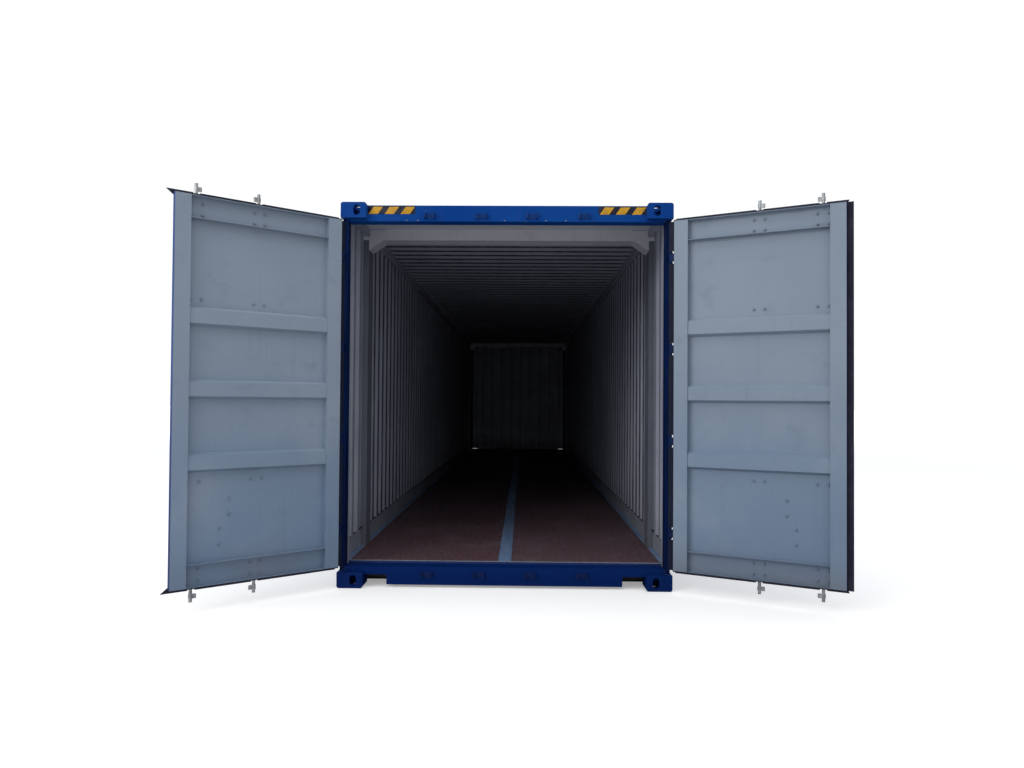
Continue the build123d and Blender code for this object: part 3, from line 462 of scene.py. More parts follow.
def frame_two_sided():
    """Frame steel: blue outside, grey where it faces the hold from the rear posts to the front wall.

    The ledge under the side walls' sheets is dark: painted shade at the foot of the flutes.
    """
    g = Shade("frame_two_sided")
    x, y, z = g.split(g.place)[:3]
    ny, nz = g.split(g.facing)[1:3]
    toward_middle = g.times(ny, g.math("SIGN", y))
    inner = g.below(toward_middle, -0.30, -0.20)
    under_roof = g.times(g.below(nz, -0.6, -0.5), g.ramp(z, 2.0, 2.1))
    inner = g.math("MAXIMUM", inner, under_roof)
    below_rail = g.below(g.absolute(y), POST_OUTER - 0.001, POST_OUTER - 0.0005)
    inner = g.math("MAXIMUM", inner, g.times(below_rail, g.ramp(x, REAR + 0.25, REAR + 0.26)))
    inner = g.times(inner, g.ramp(x, REAR + 0.125, REAR + 0.130))
    inner = g.times(inner, g.ramp(z, FLOOR_TOP - 0.002, FLOOR_TOP))
    inner = g.times(inner, g.below(x, FRONT_SHEET + 0.0005, FRONT_SHEET + 0.0020))
    under_wall = g.ramp(g.absolute(y), WALL_CREST - 0.002, WALL_CREST)
    # painted shade: the ledge at the foot of the flutes turns dark navy
    ledge = g.times(inner, under_wall, g.ramp(nz, 0.5, 0.6))
    colour, roughness, height = join(g, inner, blue_paint(g), grey_paint(g))
    return g.finish(g.mix(ledge, colour, NAVY), roughness, height, 0.0011, gloss=0.15)


def leaf_axes(side_name):
    side = SIDES[side_name]
    turn = math.radians(90 + OPENED[side_name])
    along = Vector((math.cos(turn), -side * math.sin(turn), 0))
    inward = Vector((-along.y, along.x, 0)) * side
    origin = Vector((PIN_X, side * PIN_ACROSS, 0))
    return origin, along, inward


def leaf_point(side_name, along, depth, level):
    origin, run, inward = leaf_axes(side_name)
    return origin + run * along + inward * depth + Vector((0, 0, level))


def door_inside(g, edge=False):
    """The pale blue-grey of the doors' inner faces, darker and bluer low down with painted shade."""
    return aged_paint(g, DOOR, DOOR_LIGHT, DOOR_DARK, 0.40, edge, 0.50, DOOR_LOW_SHADE)


def door_paint(side_name, sheet):
    """Door steel: pale paint on the inside of the leaf, blue outside and round its edges."""
    g = Shade(f"door_paint_{side_name}_{'sheet' if sheet else 'frame'}")
    origin, run, inward = leaf_axes(side_name)
    facing_in = g.dot(g.facing, tuple(inward))
    if sheet:
        inner = g.ramp(facing_in, -0.05, 0.05)
    else:
        along = g.minus(g.dot(g.place, tuple(run)), origin.dot(run))
        height_up = g.split(g.place)[2]
        within = g.ramp(along, LEAF_START + 0.0005, LEAF_START + 0.0015)
        within = g.times(within, g.below(along, LEAF_END - 0.0015, LEAF_END - 0.0005))
        within = g.times(within, g.ramp(height_up, LEAF_BOTTOM + 0.0005, LEAF_BOTTOM + 0.0015))
        within = g.times(within, g.below(height_up, LEAF_TOP - 0.0015, LEAF_TOP - 0.0005))
        within = g.times(within, g.ramp(facing_in, -0.6, -0.5))
        inner = g.math("MAXIMUM", within, g.ramp(facing_in, 0.35, 0.45))
    finish = join(g, inner, blue_paint(g, 0.9, False), door_inside(g, not sheet))
    return g.finish(*finish, 0.0012, gloss=0.28)


def bolt_paint():
    """Bolt ends on the doors' inner faces, brushed over with the door's paint and bleeding rust."""
    g = Shade("bolt_paint")
    colour, roughness, height = door_inside(g)
    worn = g.times(g.edges(0.0016), g.ramp(g.noise(90.0, 4.0), 0.40, 0.58))
    rust = g.math("MAXIMUM", g.ramp(g.noise(140.0, 4.0, 0.65), 0.60, 0.70, 0.0, 0.75), worn)
    colour = g.mix(0.25, colour, DOOR_DARK)
    colour = g.mix(g.times(rust, 0.65), colour, RUST_DARK)
    return g.finish(colour, g.plus(roughness, 0.1), height, 0.0006)


def plywood():
    g = Shade("plywood")
    x, y, z = g.split(g.place)[:3]
    grain = g.noise((7.0, 42.0, 42.0), 6.0, 0.66, distortion=0.35)
    fibre = g.noise((26.0, 260.0, 260.0), 3.0, 0.6, shift=(2.0, 0.0, 0.0))
    figure = g.noise((0.7, 9.0, 9.0), 3.0, 0.5, shift=(5.0, 3.0, 0.0), distortion=1.4)
    rings = g.math("SINE", g.times(figure, 70.0))
    sheet = g.math("FLOOR", g.math("DIVIDE", g.minus(x, FLOOR_START), PLYWOOD_LENGTH))
    half = g.math("GREATER_THAN", y, 0.0)
    tone_seed = g.tree.nodes.new("ShaderNodeTexWhiteNoise")
    tone_seed.noise_dimensions = "1D"
    g.put(tone_seed.inputs["W"], g.plus(g.times(sheet, 2.0), half))
    colour = g.mix(g.ramp(grain, 0.30, 0.72), (0.116, 0.060, 0.072), (0.070, 0.036, 0.047))
    colour = g.mix(g.times(g.ramp(rings, -0.2, 1.0), 0.22), colour, (0.130, 0.078, 0.086))
    colour = g.mix(g.ramp(fibre, 0.58, 0.74, 0.0, 0.45), colour, (0.038, 0.022, 0.027))
    colour = g.mix(g.times(tone_seed.outputs["Value"], 0.40), colour, (0.098, 0.068, 0.086))
    dust = g.ramp(g.noise(2.6, 5.0, 0.62, shift=(1.0, 1.0, 0.0)), 0.48, 0.74, 0.0, 0.35)
    colour = g.mix(dust, colour, (0.160, 0.135, 0.150))
    tracks = g.noise((0.5, 22.0, 1.0), 3.0, 0.6, shift=(0.0, 7.0, 0.0))
    colour = g.mix(g.ramp(tracks, 0.56, 0.72, 0.0, 0.35), colour, (0.045, 0.028, 0.030))
    scrape = scratches(g, (1.2, 7.0, 1.0), g.ramp(dust, 0.02, 0.22), 0.0030, 0.5, (3.0, 9.0, 0.0))
    colour = g.mix(g.times(scrape, 0.65), colour, (0.30, 0.22, 0.18))
    speck = g.below(g.cells(34.0, shift=(2.0, 0.0, 0.0))[0], 0.030, 0.070)
    speck = g.times(speck, g.ramp(g.noise(5.0, 2.0, shift=(9.0, 9.0, 0.0)), 0.52, 0.62))
    colour = g.mix(g.times(speck, 0.70), colour, (0.42, 0.36, 0.34))
    spill = g.ramp(g.noise(1.1, 5.0, 0.6, shift=(4.0, 4.0, 0.0)), 0.62, 0.70, 0.0, 0.60)
    colour = g.mix(spill, colour, (0.022, 0.014, 0.013))
    ends = g.math("DIVIDE", g.minus(x, FLOOR_START), PLYWOOD_LENGTH)
    part = g.minus(0.5, g.absolute(g.minus(g.math("FRACT", ends), 0.5)))
    joint = g.below(part, 0.0008, 0.0018)
    colour = g.mix(joint, colour, (0.006, 0.005, 0.005))
    plies = g.math("SINE", g.times(z, 2 * math.pi / PLY))
    upright = g.below(g.absolute(g.split(g.facing)[2]), 0.3, 0.7)
    colour = g.mix(g.times(upright, g.ramp(plies, -0.3, 0.3)), colour, (0.17, 0.095, 0.055))
    roughness = g.blend(g.ramp(grain, 0.3, 0.7), 0.50, 0.68)
    roughness = g.minus(roughness, g.times(spill, 0.18))
    roughness = g.plus(roughness, g.times(dust, 0.30), clamp=True)
    height = g.plus(g.times(grain, 0.5), g.times(fibre, 0.22))
    height = g.minus(height, g.times(joint, 2.5))
    height = g.minus(height, g.times(scrape, 0.5))
    return g.finish(colour, roughness, height, 0.0010)


def floor_steel():
    g = Shade("floor_steel")
    cloud = g.noise((2.0, 9.0, 9.0), 5.0, 0.6)
    colour = g.mix(g.ramp(cloud, 0.35, 0.68), (0.120, 0.205, 0.370), (0.180, 0.265, 0.420))
    worn = g.noise((1.6, 60.0, 60.0), 4.0, 0.65, shift=(2.0, 1.0, 0.0))
    colour = g.mix(g.ramp(worn, 0.54, 0.74, 0.0, 0.55), colour, (0.300, 0.340, 0.400))
    stain = g.noise(6.0, 5.0, 0.65, shift=(6.0, 3.0, 0.0))
    rust = g.ramp(stain, 0.62, 0.72, 0.0, 0.75)
    tone = g.mix(g.ramp(g.noise(70.0, 3.0), 0.4, 0.6), RUST, RUST_DARK)
    colour = g.mix(rust, colour, tone)
    scratch_noise = g.noise((2.5, 26.0, 26.0), 2.0, 0.5, shift=(9.0, 2.0, 0.0), distortion=0.4)
    scratch = g.lines(scratch_noise, 0.48, 0.008)
    colour = g.mix(g.times(scratch, 0.6), colour, (0.45, 0.46, 0.47))
    roughness = g.blend(rust, g.ramp(worn, 0.4, 0.7, 0.52, 0.34), 0.82)
    height = g.plus(g.times(g.noise(160.0, 3.0), 0.25), g.times(rust, 0.4))
    height = g.minus(height, g.times(scratch, 0.2))
    metallic = g.times(g.ramp(worn, 0.55, 0.75), 0.6)
    return g.finish(colour, roughness, height, 0.0008, metallic)


def inner_paint():
    g = Shade("inner_paint")
    return g.finish(*beam_grey(g), 0.0010)


def middle_post_paint():
    """The inner posts: a darker grey than the beams over them, as painted shade; blue outside."""
    g = Shade("middle_post_paint")
    # the dark greys are painted shade
    tones = ((0.120, 0.130, 0.165), (0.160, 0.172, 0.210), (0.060, 0.066, 0.085))
    across = g.absolute(g.split(g.place)[1])
    outside = g.ramp(across, MIDDLE_POST_OUTER - 0.003, MIDDLE_POST_OUTER - 0.001)
    finish = join(g, outside, aged_paint(g, *tones, 0.5), blue_paint(g))
    return g.finish(*finish, 0.0010, gloss=0.25)


def under_paint():
    g = Shade("under_paint")
    cloud = g.noise(4.0, 5.0, 0.6)
    colour = g.mix(g.ramp(cloud, 0.4, 0.7), (0.016, 0.016, 0.017), (0.045, 0.042, 0.038))
    dust = g.ramp(g.noise(11.0, 4.0, shift=(3.0, 3.0, 3.0)), 0.55, 0.75, 0.0, 0.55)
    colour = g.mix(dust, colour, DIRT)
    rust = g.times(g.ramp(g.noise(34.0, 4.0, 0.65), 0.62, 0.70), g.ramp(cloud, 0.45, 0.60))
    colour = g.mix(rust, colour, RUST)
    lumps = g.noise(75.0, 4.0, 0.7)
    height = g.plus(g.times(lumps, 0.8), g.times(cloud, 0.8))
    return g.finish(colour, g.blend(dust, 0.55, 0.85), height, 0.0016)


def galvanised():
    g = Shade("galvanised")
    grains = g.cells(58.0)
    spangle = g.split(grains["Color"])[0]
    colour = g.mix(spangle, (0.330, 0.345, 0.360), (0.520, 0.540, 0.555))
    cloud = g.noise(7.0, 5.0, 0.6)
    colour = g.mix(g.ramp(cloud, 0.42, 0.70, 0.0, 0.65), colour, (0.230, 0.235, 0.240))
    white = g.ramp(g.noise(24.0, 5.0, 0.7, shift=(4.0, 4.0, 4.0)), 0.58, 0.72, 0.0, 0.60)
    colour = g.mix(white, colour, (0.56, 0.57, 0.57))
    worn = g.times(g.edges(0.003), g.ramp(g.noise(30.0, 4.0), 0.45, 0.6))
    rust_spots = g.ramp(g.noise(46.0, 4.0, 0.65, shift=(1.0, 7.0, 2.0)), 0.66, 0.74)
    rust = g.math("MAXIMUM", rust_spots, g.times(worn, g.ramp(cloud, 0.48, 0.60)))
    colour = g.mix(g.times(rust, 0.80), colour, RUST)
    roughness = g.blend(spangle, 0.36, 0.52)
    roughness = g.plus(roughness, g.times(white, 0.35))
    roughness = g.plus(roughness, g.times(rust, 0.30), clamp=True)
    metallic = g.minus(0.85, g.times(g.math("MAXIMUM", white, rust), 0.8), clamp=True)
    runs = g.noise((60.0, 60.0, 7.0), 3.0, 0.5)
    height = g.plus(g.times(runs, 0.5), g.times(spangle, 0.06))
    height = g.plus(height, g.times(rust, 0.3))
    return g.finish(colour, roughness, height, 0.0007, metallic)


def seal_rubber(name, dark, light):
    g = Shade(name)
    cloud = g.noise(9.0, 5.0, 0.6)
    colour = g.mix(g.ramp(cloud, 0.40, 0.70), dark, light)
    dust = g.ramp(g.noise((30.0, 30.0, 3.0), 4.0, 0.6, shift=(2.0, 5.0, 1.0)), 0.55, 0.78, 0.0, 0.50)
    colour = g.mix(dust, colour, tuple(2 * tone for tone in light))
    cracks = g.lines(g.noise(85.0, 2.0, 0.5, distortion=1.5), 0.5, 0.012)
    height = g.minus(g.times(g.noise(300.0, 2.0), 0.2), g.times(cracks, 0.4))
    return g.finish(colour, g.blend(dust, 0.52, 0.78), height, 0.0006, gloss=0.18)


def hazard_stripes(side):
    """Slanting yellow bands on black for the plate at one end of the header."""
    g = Shade(f"hazard_stripes_{'left' if side > 0 else 'right'}")
    y, z = g.split(g.place)[1:3]
    lean = g.times(g.minus(z, STRIPE_LEVEL), 0.7)
    start = side * STRIPE_ACROSS + STRIPE_SIZE[0] / 2 - 0.25 * STRIPE_PITCH
    across = g.minus(g.minus(start, y), lean)
    turn = g.math("FRACT", g.math("DIVIDE", across, STRIPE_PITCH))
    yellow = g.below(g.absolute(g.minus(turn, 0.29)), 0.284, 0.294)
    top_border = g.below(z, STRIPE_LEVEL + 0.0235, STRIPE_LEVEL + 0.0250)
    yellow = g.times(yellow, top_border)
    cloud = g.noise(12.0, 5.0, 0.6)
    bright = g.mix(g.ramp(cloud, 0.4, 0.7), (0.62, 0.330, 0.012), (0.46, 0.235, 0.014))
    black = g.mix(g.ramp(cloud, 0.4, 0.7), (0.006, 0.008, 0.020), (0.014, 0.017, 0.034))
    colour = g.mix(yellow, black, bright)
    dirt = g.ramp(g.noise((70.0, 70.0, 9.0), 4.0, 0.6), 0.56, 0.80, 0.0, 0.35)
    colour = g.mix(dirt, colour, NAVY)
    scratched = scratches(g, (22.0, 22.0, 60.0), 0.5, 0.008, 0.8, (0.0, 0.0, 0.0))
    colour = g.mix(scratched, colour, BLUE_FADED)
    return g.finish(colour, g.blend(dirt, 0.45, 0.70), g.noise(200.0, 2.0), 0.0003, gloss=0.2)


def bolt_zinc():
    g = Shade("bolt_zinc")
    cloud = g.noise(60.0, 4.0, 0.6)
    colour = g.mix(g.ramp(cloud, 0.4, 0.7), (0.300, 0.320, 0.340), (0.160, 0.165, 0.170))
    rust = g.ramp(g.noise(95.0, 4.0, 0.65, shift=(4.0, 1.0, 1.0)), 0.60, 0.70, 0.0, 0.85)
    colour = g.mix(rust, colour, RUST)
    metallic = g.minus(0.70, g.times(rust, 0.70))
    return g.finish(colour, g.blend(rust, 0.42, 0.80), g.noise(500.0, 2.0), 0.0003, metallic)


def weld_metal():
    g = Shade("weld_metal")
    colour, roughness, height = blue_paint(g, 0.6, False)
    return g.finish(colour, roughness, g.plus(height, g.noise(320.0, 3.0)), 0.0007, gloss=0.3)


def ground_paint():
    """A pale floor that the camera sees nearly white, more so far away, and that lights little."""
    g = Shade("studio_floor")
    cloud = g.noise(0.35, 3.0)
    colour = g.mix(g.ramp(cloud, 0.3, 0.7), (0.440, 0.440, 0.445), (0.455, 0.455, 0.460))
    seen = g.tree.nodes.new("ShaderNodeLightPath").outputs["Is Camera Ray"]
    colour = g.mix(seen, colour, (0.90, 0.90, 0.90))
    material = g.finish(colour, 0.9, gloss=0.0)
    shader = next(node for node in g.tree.nodes if node.type == "BSDF_PRINCIPLED")
    shader.inputs["Emission Color"].default_value = (1.0, 1.0, 1.0, 1.0)
    pale = g.ramp(g.dot(g.place, g.place), 100.0, 600.0, 0.30, 0.80)
    g.put(shader.inputs["Emission Strength"], g.times(seen, pale))
    return material


paints = {
    "frame_paint": frame_paint(),
    "casting_paint": casting_paint(),
    "inner_paint": inner_paint(),
    "under_paint": under_paint(),
    "floor_steel": floor_steel(),
    "plywood": plywood(),
    "galvanised": galvanised(),
    "seal_rubber": seal_rubber("seal_rubber", (0.014, 0.016, 0.034), (0.028, 0.030, 0.052)),
}
walls = {
    "side_wall_left": two_sided("wall_paint_left", (0, 1, 0), True, WALL_CREST),
    "side_wall_right": two_sided("wall_paint_right", (0, -1, 0), True, WALL_CREST),
    "front_wall": two_sided("wall_paint_front", (1, 0, 0)),
    "roof_panel": two_sided("wall_paint_roof", (0, 0, 1), True, ROOF_CREST),
}


def assign(name, material):
    mesh = nodes[name].data
    mesh.materials.clear()
    mesh.materials.append(material)


material_of = {row["node"]: row["material_slot"] for row in frame["record"]["subparts"]}
hold_side = frame_two_sided()
hold_nodes = ("top_side_rails", "bottom_side_rails", "front_posts", "front_top_rail")
own_paints = {name: hold_side for name in (*hold_nodes, "front_bottom_rail")}
own_paints.update(walls)
own_paints["roof_end_plates"] = two_sided("roof_plate_paint", (0, 0, 1), within=beam_grey)
own_paints["middle_posts"] = middle_post_paint()
own_paints["rear_posts"] = post_paint()
grease_and_shade_blue = grease_and_shade_paint("lug_paint", 0.65, 0.92)
own_paints["hinge_lugs"] = grease_and_shade_blue
own_paints["cam_keepers"] = grease_and_shade_paint("keeper_paint", 0.22, 0.45)
own_paints["threshold_plate"] = threshold_paint()
for side_name in SIDES:
    own_paints[f"door_{side_name}_frame"] = door_paint(side_name, False)
    own_paints[f"door_{side_name}_panel"] = door_paint(side_name, True)
    own_paints[f"door_{side_name}_hinges"] = grease_and_shade_blue
for name in nodes:
    assign(name, own_paints.get(name) or paints[material_of[name]])


def ring_faces(rings, count):
    """Four-sided faces between rings of points, each ring with the same count."""
    faces = []
    for low in range(0, (rings - 1) * count, count):
        for index in range(count):
            after = (index + 1) % count
            faces.append((low + index, low + after, low + count + after, low + count + index))
    return faces


def side_axes(axis):
    """Two directions square to an axis and to each other."""
    other = Vector((0, 0, 1)) if abs(axis.z) < 0.9 else Vector((1, 0, 0))
    first = axis.cross(other).normalized()
    return first, axis.cross(first)


class Piece:
    """Vertices and faces of one new mesh, gathered from many small shapes."""

    def __init__(self, name):
        self.name = name
        self.points = []
        self.faces = []

    def add(self, points, faces):
        start = len(self.points)
        self.points += [tuple(point) for point in points]
        self.faces += [tuple(start + index for index in face) for face in faces]

    def lathe(self, profile, base, axis, count=12):
        """A turned shape: profile gives radius and height pairs from the base outward."""
        axis = Vector(axis).normalized()
        first, second = side_axes(axis)
        points = []
        for radius, rise in profile:
            for index in range(count):
                turn = 2 * math.pi * index / count
                spoke = first * math.cos(turn) + second * math.sin(turn)
                points.append(Vector(base) + axis * rise + spoke * radius)
        faces = ring_faces(len(profile), count)
        top = (len(profile) - 1) * count
        faces.append(tuple(top + index for index in range(count)))
        faces.append(tuple(reversed(range(count))))
        self.add(points, faces)

    def bead(self, path, radius, ripple=0.006, count=8):
        """A weld bead along a path: a tube with the ripples of its drops."""
        path = [Vector(point) for point in path]
        rows = []
        for start, stop in zip(path, path[1:]):
            steps = max(2, int((stop - start).length / (ripple / 2)))
            for step in range(steps):
                rows.append((start.lerp(stop, step / steps), (stop - start).normalized()))
        rows.append((path[-1], (path[-1] - path[-2]).normalized()))
        points = []
        for row, (centre, run) in enumerate(rows):
            first, second = side_axes(run)
            size = radius * (1.0 if row % 2 else 0.80) * random.uniform(0.92, 1.06)
            if row in (0, len(rows) - 1):
                size *= 0.45
            for index in range(count):
                turn = 2 * math.pi * index / count
                points.append(centre + (first * math.cos(turn) + second * math.sin(turn)) * size)
        faces = ring_faces(len(rows), count)
        faces.append(tuple(reversed(range(count))))
        faces.append(tuple((len(rows) - 1) * count + index for index in range(count)))
        self.add(points, faces)

    def plate(self, origin, across, upward, size, thickness, corner, bevel):
        """A thin plate with rounded corners and a bevelled front edge."""
        across = Vector(across).normalized()
        upward = Vector(upward).normalized()
        out = across.cross(upward)
        half = (size[0] / 2, size[1] / 2)
        outline = []
        for sx, sy, start in ((1, 1, 0), (-1, 1, 90), (-1, -1, 180), (1, -1, 270)):
            for step in range(5):
                turn = math.radians(start + step * 22.5)
                outline.append(
                    (
                        sx * (half[0] - corner) + corner * math.cos(turn),
                        sy * (half[1] - corner) + corner * math.sin(turn),
                    )
                )
        count = len(outline)
        points = []
        for rise, shrink in ((0, 0), (thickness - bevel, 0), (thickness, bevel)):
            for px, py in outline:
                scale_x = (abs(px) - shrink) / abs(px) if px else 1
                scale_y = (abs(py) - shrink) / abs(py) if py else 1
                points.append(Vector(origin) + across * px * scale_x + upward * py * scale_y + out * rise)
        faces = ring_faces(3, count)
        faces.append(tuple(2 * count + index for index in range(count)))
        faces.append(tuple(reversed(range(count))))
        self.add(points, faces)

    def build(self, material, body, smooth=40):
        mesh = bpy.data.meshes.new(self.name)
        mesh.from_pydata(self.points, [], self.faces)
        mesh.update()
        mesh.materials.append(material)
        obj = bpy.data.objects.new(self.name, mesh)
        bpy.context.scene.collection.objects.link(obj)
        mesh.shade_smooth()
        mesh.set_sharp_from_angle(angle=math.radians(smooth))
        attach(obj, body)
        return obj


# turned shapes of the fasteners, as radius and height pairs
COLLAR = [
    (0.0125, 0.0),
    (0.0125, 0.0016),
    (0.0092, 0.0018),
    (0.0088, 0.0075),
    (0.0076, 0.0088),
    (0.0048, 0.0089),
    (0.0046, 0.0115),
    (0.0036, 0.0123),
]
DOME = [(0.0120, 0.0), (0.0118, 0.0016), (0.0104, 0.0040), (0.0078, 0.0056), (0.0040, 0.0066)]
RIVET = [(0.0052, 0.0), (0.0050, 0.0011), (0.0038, 0.0022), (0.0016, 0.0027)]
PIN_HEAD = [(0.0105, 0.0), (0.0105, 0.0022), (0.0094, 0.0040), (0.0060, 0.0046)]
PIVOT_HEAD = [(0.0088, 0.0), (0.0088, 0.0028), (0.0074, 0.0042), (0.0030, 0.0047)]
SCREW = [(0.0062, -0.0002), (0.0060, 0.0004), (0.0022, 0.0002), (0.0020, -0.0002)]

zinc = bolt_zinc()
painted = bolt_paint()
weld = weld_metal()
lip_rubber = seal_rubber("hinge_lip_rubber", (0.003, 0.006, 0.024), (0.006, 0.010, 0.034))


def door_bolts(side_name):
    """Bolts of the rod guides, catches and hinges: domes outside, collars on the inner faces."""
    inward = leaf_axes(side_name)[2]
    inner = Piece(f"door_{side_name}_inner_bolts")
    outer = Piece(f"door_{side_name}_outer_bolts")
    for along in ROD_ALONG.values():
        for index, level in enumerate(GUIDE_LEVELS):
            on_frame = index in (0, 3)
            depth = WEB if on_frame else SHEET
            for shift in (-0.036, 0.036):
                for rise in (-0.020, 0.020):
                    place = leaf_point(side_name, along + shift, GUIDE_PLATE_FACE, level + rise)
                    outer.lathe(DOME, place, -inward)
                for rise in (-0.037, 0.037) if on_frame else (0.0,):
                    inner.lathe(COLLAR, leaf_point(side_name, along + shift, depth, level + rise), inward)
    for rod, along in ROD_ALONG.items():
        catch = along + CATCH_SHIFT[rod]
        for rise in (-0.053, 0.053):
            level = HANDLE_LEVELS[rod] + rise
            outer.lathe(DOME, leaf_point(side_name, catch, GUIDE_PLATE_FACE, level), -inward)
            inner.lathe(COLLAR, leaf_point(side_name, catch, SHEET, level), inward)
    for level in HINGE_LEVELS:
        for along in HINGE_BOLTS_ALONG:
            for rise in (-0.017, 0.017):
                outer.lathe(DOME, leaf_point(side_name, along, HINGE_BLADE_FACE, level + rise), -inward)
    inner.build(painted, f"door_{side_name}")
    outer.build(zinc, f"door_{side_name}")


def handle_pivots(side_name, rod):
    """The bolt that each handle turns on, with a head on both cheeks of the rod's fork."""
    inward = leaf_axes(side_name)[2]
    pivot = ROD_ALONG[rod] + HANDLE_TURN[rod] * HANDLE_PIVOT
    piece = Piece(f"door_{side_name}_handle_pivot_{rod}")
    cheek = 0.0115
    for depth, way in ((cheek, inward), (-cheek, -inward)):
        piece.lathe(PIVOT_HEAD, leaf_point(side_name, pivot, depth, HANDLE_LEVELS[rod]), way)
    piece.build(zinc, f"lock_rod_{side_name}_{rod}")


def hinge_lip(side_name):
    """The seal's lip on the hinge side, lying over the post and open at the hinges."""
    piece = Piece(f"door_{side_name}_hinge_lip")
    hinge_edges = [level + way * SEAL_GAP for level in HINGE_LEVELS for way in (-1, 1)]
    gaps = [LEAF_BOTTOM - SEAL_OVERLAP, *hinge_edges, LEAF_TOP + SEAL_OVERLAP]
    profile = [
        (0.048, 0.0215),
        (0.048, 0.0165),
        (-0.010, 0.0150),
        (-0.012, 0.0135),
        (-0.010, 0.0120),
        (0.050, 0.0120),
        (0.052, 0.0215),
    ]
    count = len(profile)
    for low, high in zip(gaps[::2], gaps[1::2]):
        steps = max(2, int((high - low) / 0.05))
        points = []
        for step in range(steps + 1):
            level = low + (high - low) * step / steps
            sway = 0.0006 * math.sin(level * 9.0) + random.uniform(-0.0003, 0.0003)
            for along, depth in profile:
                points.append(leaf_point(side_name, along, depth + sway * (along < 0.04), level))
        faces = ring_faces(steps + 1, count)
        faces.append(tuple(range(count)))
        faces.append(tuple(steps * count + index for index in reversed(range(count))))
        piece.add(points, faces)
    piece.build(lip_rubber, f"door_{side_name}", smooth=30)


def header_screws():
    """Small pale screw ends along the header's lower edge, where the photograph shows them."""
    piece = Piece("header_screws")
    for across in HEADER_SCREWS_ACROSS:
        piece.lathe(RIVET, (POST_FACE, across, HEADER_BOTTOM + 0.007), (-1, 0, 0))
    piece.build(zinc, "container")


def left_door_rivets():
    """Rivets through the left door's sheet, in the places where the photograph shows them."""
    inward = leaf_axes("left")[2]
    piece = Piece("door_left_rivets")
    places = [(0.284, 0.745), (0.382, 0.745)]
    places += [(along, level) for along in (0.280, 0.474) for level in (0.470, 0.640)]
    for along, level in places:
        piece.lathe(RIVET, leaf_point("left", along, SHEET, level), inward)
        piece.lathe(RIVET, leaf_point("left", along, LEAF_OUTER, level), -inward)
    piece.build(painted, "door_left")


def hinge_pin_heads():
    """The peened ends of the hinge pins, above and below each pair of lugs."""
    piece = Piece("hinge_pin_heads")
    for side in SIDES.values():
        for level in HINGE_LEVELS:
            for way in (1, -1):
                piece.lathe(PIN_HEAD, (PIN_X, side * PIN_ACROSS, level + way * PIN_REACH), (0, 0, way), 16)
    piece.build(zinc, "container")


def stripe_plates():
    """The slanting stripes at both ends of the header."""
    for side_name, side in SIDES.items():
        piece = Piece(f"hazard_stripe_{side_name}")
        place = (POST_FACE, side * STRIPE_ACROSS, STRIPE_LEVEL)
        piece.plate(place, (0, -1, 0), (0, 0, 1), STRIPE_SIZE, thickness=0.0012, corner=0.003, bevel=0.0005)
        piece.build(hazard_stripes(side), "container")


def floor_screws():
    """Rows of screws through the plywood into the cross members."""
    piece = Piece("floor_screws")
    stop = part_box("gooseneck_tunnel")[0].x - 0.045
    count = int((stop - FLOOR_START) // CROSS_PITCH)
    for index in range(1, count + 1):
        row = FLOOR_START + index * (stop - FLOOR_START) / count + 0.022
        for side in SIDES.values():
            for across in SCREWS_ACROSS:
                x = row + random.uniform(-0.003, 0.003)
                y = side * (across + random.uniform(-0.006, 0.006))
                piece.lathe(SCREW, (x, y, FLOOR_TOP), (0, 0, 1), 8)
    piece.build(zinc, "container")


def corner_welds():
    """Weld beads round the posts on their fittings, and at the ends of the header and sill."""
    piece = Piece("corner_welds")
    for side in SIDES.values():
        step = POST_OUTER - POST_STEP
        ring = [
            (POST_END, POST_OUTER),
            (POST_FACE + 0.043, POST_OUTER),
            (POST_FACE + 0.036, step),
            (POST_FACE, step),
            (POST_FACE, OPENING_HALF),
        ]
        for level in (FITTING_TOP, HEIGHT - FITTING_TOP):
            piece.bead([(x, side * y, level) for x, y in ring], FRAME_WELD)
            front = [(-POST_END, side * POST_OUTER, level), (-REAR - 0.006, side * POST_OUTER, level)]
            piece.bead(front, FRAME_WELD)
        for low, high in ((SILL_TOP - 0.034, SILL_TOP), (HEADER_BOTTOM + 0.018, HEADER_TOP)):
            across = side * (OPENING_HALF if high == SILL_TOP else FITTING_INNER)
            piece.bead([(POST_FACE, across, low), (POST_FACE, across, high)], FRAME_WELD)
        foot = [(POST_END, side * POST_OUTER, level) for level in (0.024, FITTING_TOP)]
        piece.bead(foot, FRAME_WELD)
    piece.build(weld, "container")


def lug_welds():
    """Weld beads above and below each hinge lug, and beside each cam keeper."""
    piece = Piece("lug_welds")
    for side in SIDES.values():
        for level in HINGE_LEVELS:
            for away in LUG_EDGES:
                ends = [(POST_FACE, side * (PIN_ACROSS + shift), level + away) for shift in LUG_ENDS]
                piece.bead(ends, LUG_WELD)
        for rod, along in ROD_ALONG.items():
            for shift in KEEPER_EDGES:
                y = side * (PIN_ACROSS - along + shift * -HANDLE_TURN[rod])
                for level in KEEPER_LEVELS:
                    ends = [(POST_FACE, y, level + rise) for rise in (-0.020, 0.020)]
                    piece.bead(ends, KEEPER_WELD)
    piece.build(weld, "container")


for side_name in SIDES:
    door_bolts(side_name)
    hinge_lip(side_name)
    for rod in ROD_ALONG:
        handle_pivots(side_name, rod)
left_door_rivets()
header_screws()
hinge_pin_heads()
stripe_plates()
floor_screws()
corner_welds()
lug_welds()


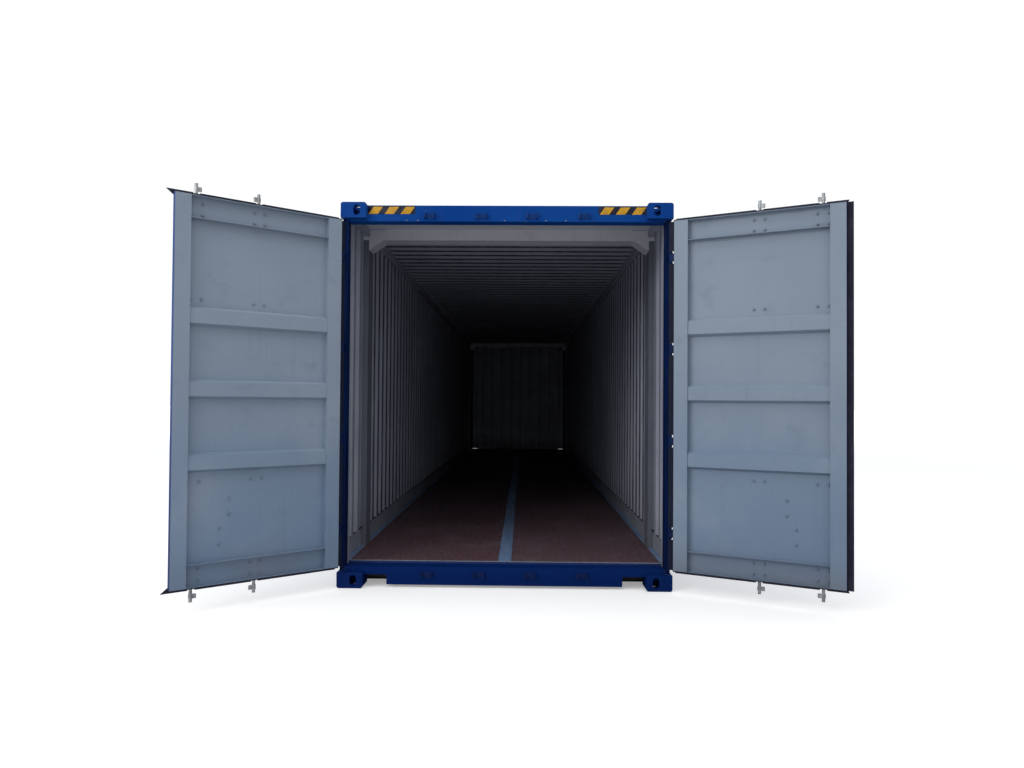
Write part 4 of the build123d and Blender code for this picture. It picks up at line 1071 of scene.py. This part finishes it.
def area_light(name, place, target, size, power, tone=(1, 1, 1)):
    data = bpy.data.lights.new(name, "AREA")
    data.shape = "RECTANGLE"
    data.size = size[0]
    data.size_y = size[1]
    data.energy = power
    data.color = tone
    light = bpy.data.objects.new(name, data)
    bpy.context.scene.collection.objects.link(light)
    light.location = place
    light.rotation_euler = (Vector(target) - Vector(place)).to_track_quat("-Z", "Y").to_euler()
    return light


def studio_floor(reach):
    """A plain pale floor just under the object."""
    corners = [(-reach, -reach, 0), (reach, -reach, 0), (reach, reach, 0), (-reach, reach, 0)]
    mesh = bpy.data.meshes.new("studio_floor")
    mesh.from_pydata(corners, [], [(0, 1, 2, 3)])
    mesh.materials.append(ground_paint())
    floor = bpy.data.objects.new("studio_floor", mesh)
    bpy.context.scene.collection.objects.link(floor)
    floor.location.z = -0.001


def studio_sky(above, level_with, seen):
    """Soft light, stronger from above than from the sides, before a white backdrop."""
    world = bpy.data.worlds.new("studio")
    world.use_nodes = True
    tree = world.node_tree
    background = tree.nodes["Background"]
    background.inputs["Color"].default_value = (0.96, 0.98, 1.0, 1.0)
    coords = tree.nodes.new("ShaderNodeTexCoord")
    split = tree.nodes.new("ShaderNodeSeparateXYZ")
    tree.links.new(coords.outputs["Generated"], split.inputs[0])
    rise = tree.nodes.new("ShaderNodeMapRange")
    tree.links.new(split.outputs[2], rise.inputs["Value"])
    rise.inputs["From Min"].default_value = 0.0
    rise.inputs["From Max"].default_value = 0.8
    rise.inputs["To Min"].default_value = level_with
    rise.inputs["To Max"].default_value = above
    choice = tree.nodes.new("ShaderNodeMix")
    tree.links.new(tree.nodes.new("ShaderNodeLightPath").outputs["Is Camera Ray"], choice.inputs["Factor"])
    tree.links.new(rise.outputs[0], choice.inputs[2])
    choice.inputs[3].default_value = seen
    tree.links.new(choice.outputs[0], background.inputs["Strength"])
    bpy.context.scene.world = world


studio_floor(reach=150.0)
studio_sky(above=0.80, level_with=0.62, seen=1.05)
bpy.context.scene.view_settings.view_transform = "Standard"
area_light(
    "key", (-13.0, 7.0, 6.5), target=(-6.5, 0.0, 1.4), size=(6.0, 4.0), power=330.0, tone=(1.0, 0.98, 0.95)
)
area_light("top", (-6.0, 0.0, 9.0), target=(-6.0, 0.0, 0.0), size=(12.0, 6.0), power=260.0)
area_light(
    "bounce", (-9.8, 0.9, 0.12), target=(-4.0, -0.4, 2.4), size=(4.0, 1.0), power=16.0, tone=(1.0, 0.98, 0.97)
)

# the camera stands and looks as the fit of the photograph says
yaw, pitch, roll = CAMERA_YAW, CAMERA_PITCH, CAMERA_ROLL
forward = Vector((math.cos(yaw) * math.cos(pitch), -math.sin(yaw) * math.cos(pitch), math.sin(pitch)))
level_right = Vector((-math.sin(yaw), -math.cos(yaw), 0))
level_up = Vector((-math.cos(yaw) * math.sin(pitch), math.sin(yaw) * math.sin(pitch), math.cos(pitch)))
right = level_right * math.cos(roll) + level_up * math.sin(roll)
upward = level_up * math.cos(roll) - level_right * math.sin(roll)
camera_data = bpy.data.cameras.new("camera")
camera = bpy.data.objects.new("camera", camera_data)
bpy.context.scene.collection.objects.link(camera)
camera_data.sensor_width = SENSOR_WIDTH
camera_data.lens = FOCAL_PIXELS * SENSOR_WIDTH / PHOTO_SIZE[0]
camera_data.shift_x = (PHOTO_SIZE[0] / 2 - PHOTO_CENTRE[0]) / PHOTO_SIZE[0]
camera_data.shift_y = (PHOTO_CENTRE[1] - PHOTO_SIZE[1] / 2) / PHOTO_SIZE[0]
camera_data.clip_end = 400.0
turn = Matrix((right, upward, -forward)).transposed().to_4x4()
camera.matrix_world = Matrix.Translation(CAMERA_PLACE) @ turn
bpy.context.scene.camera = camera
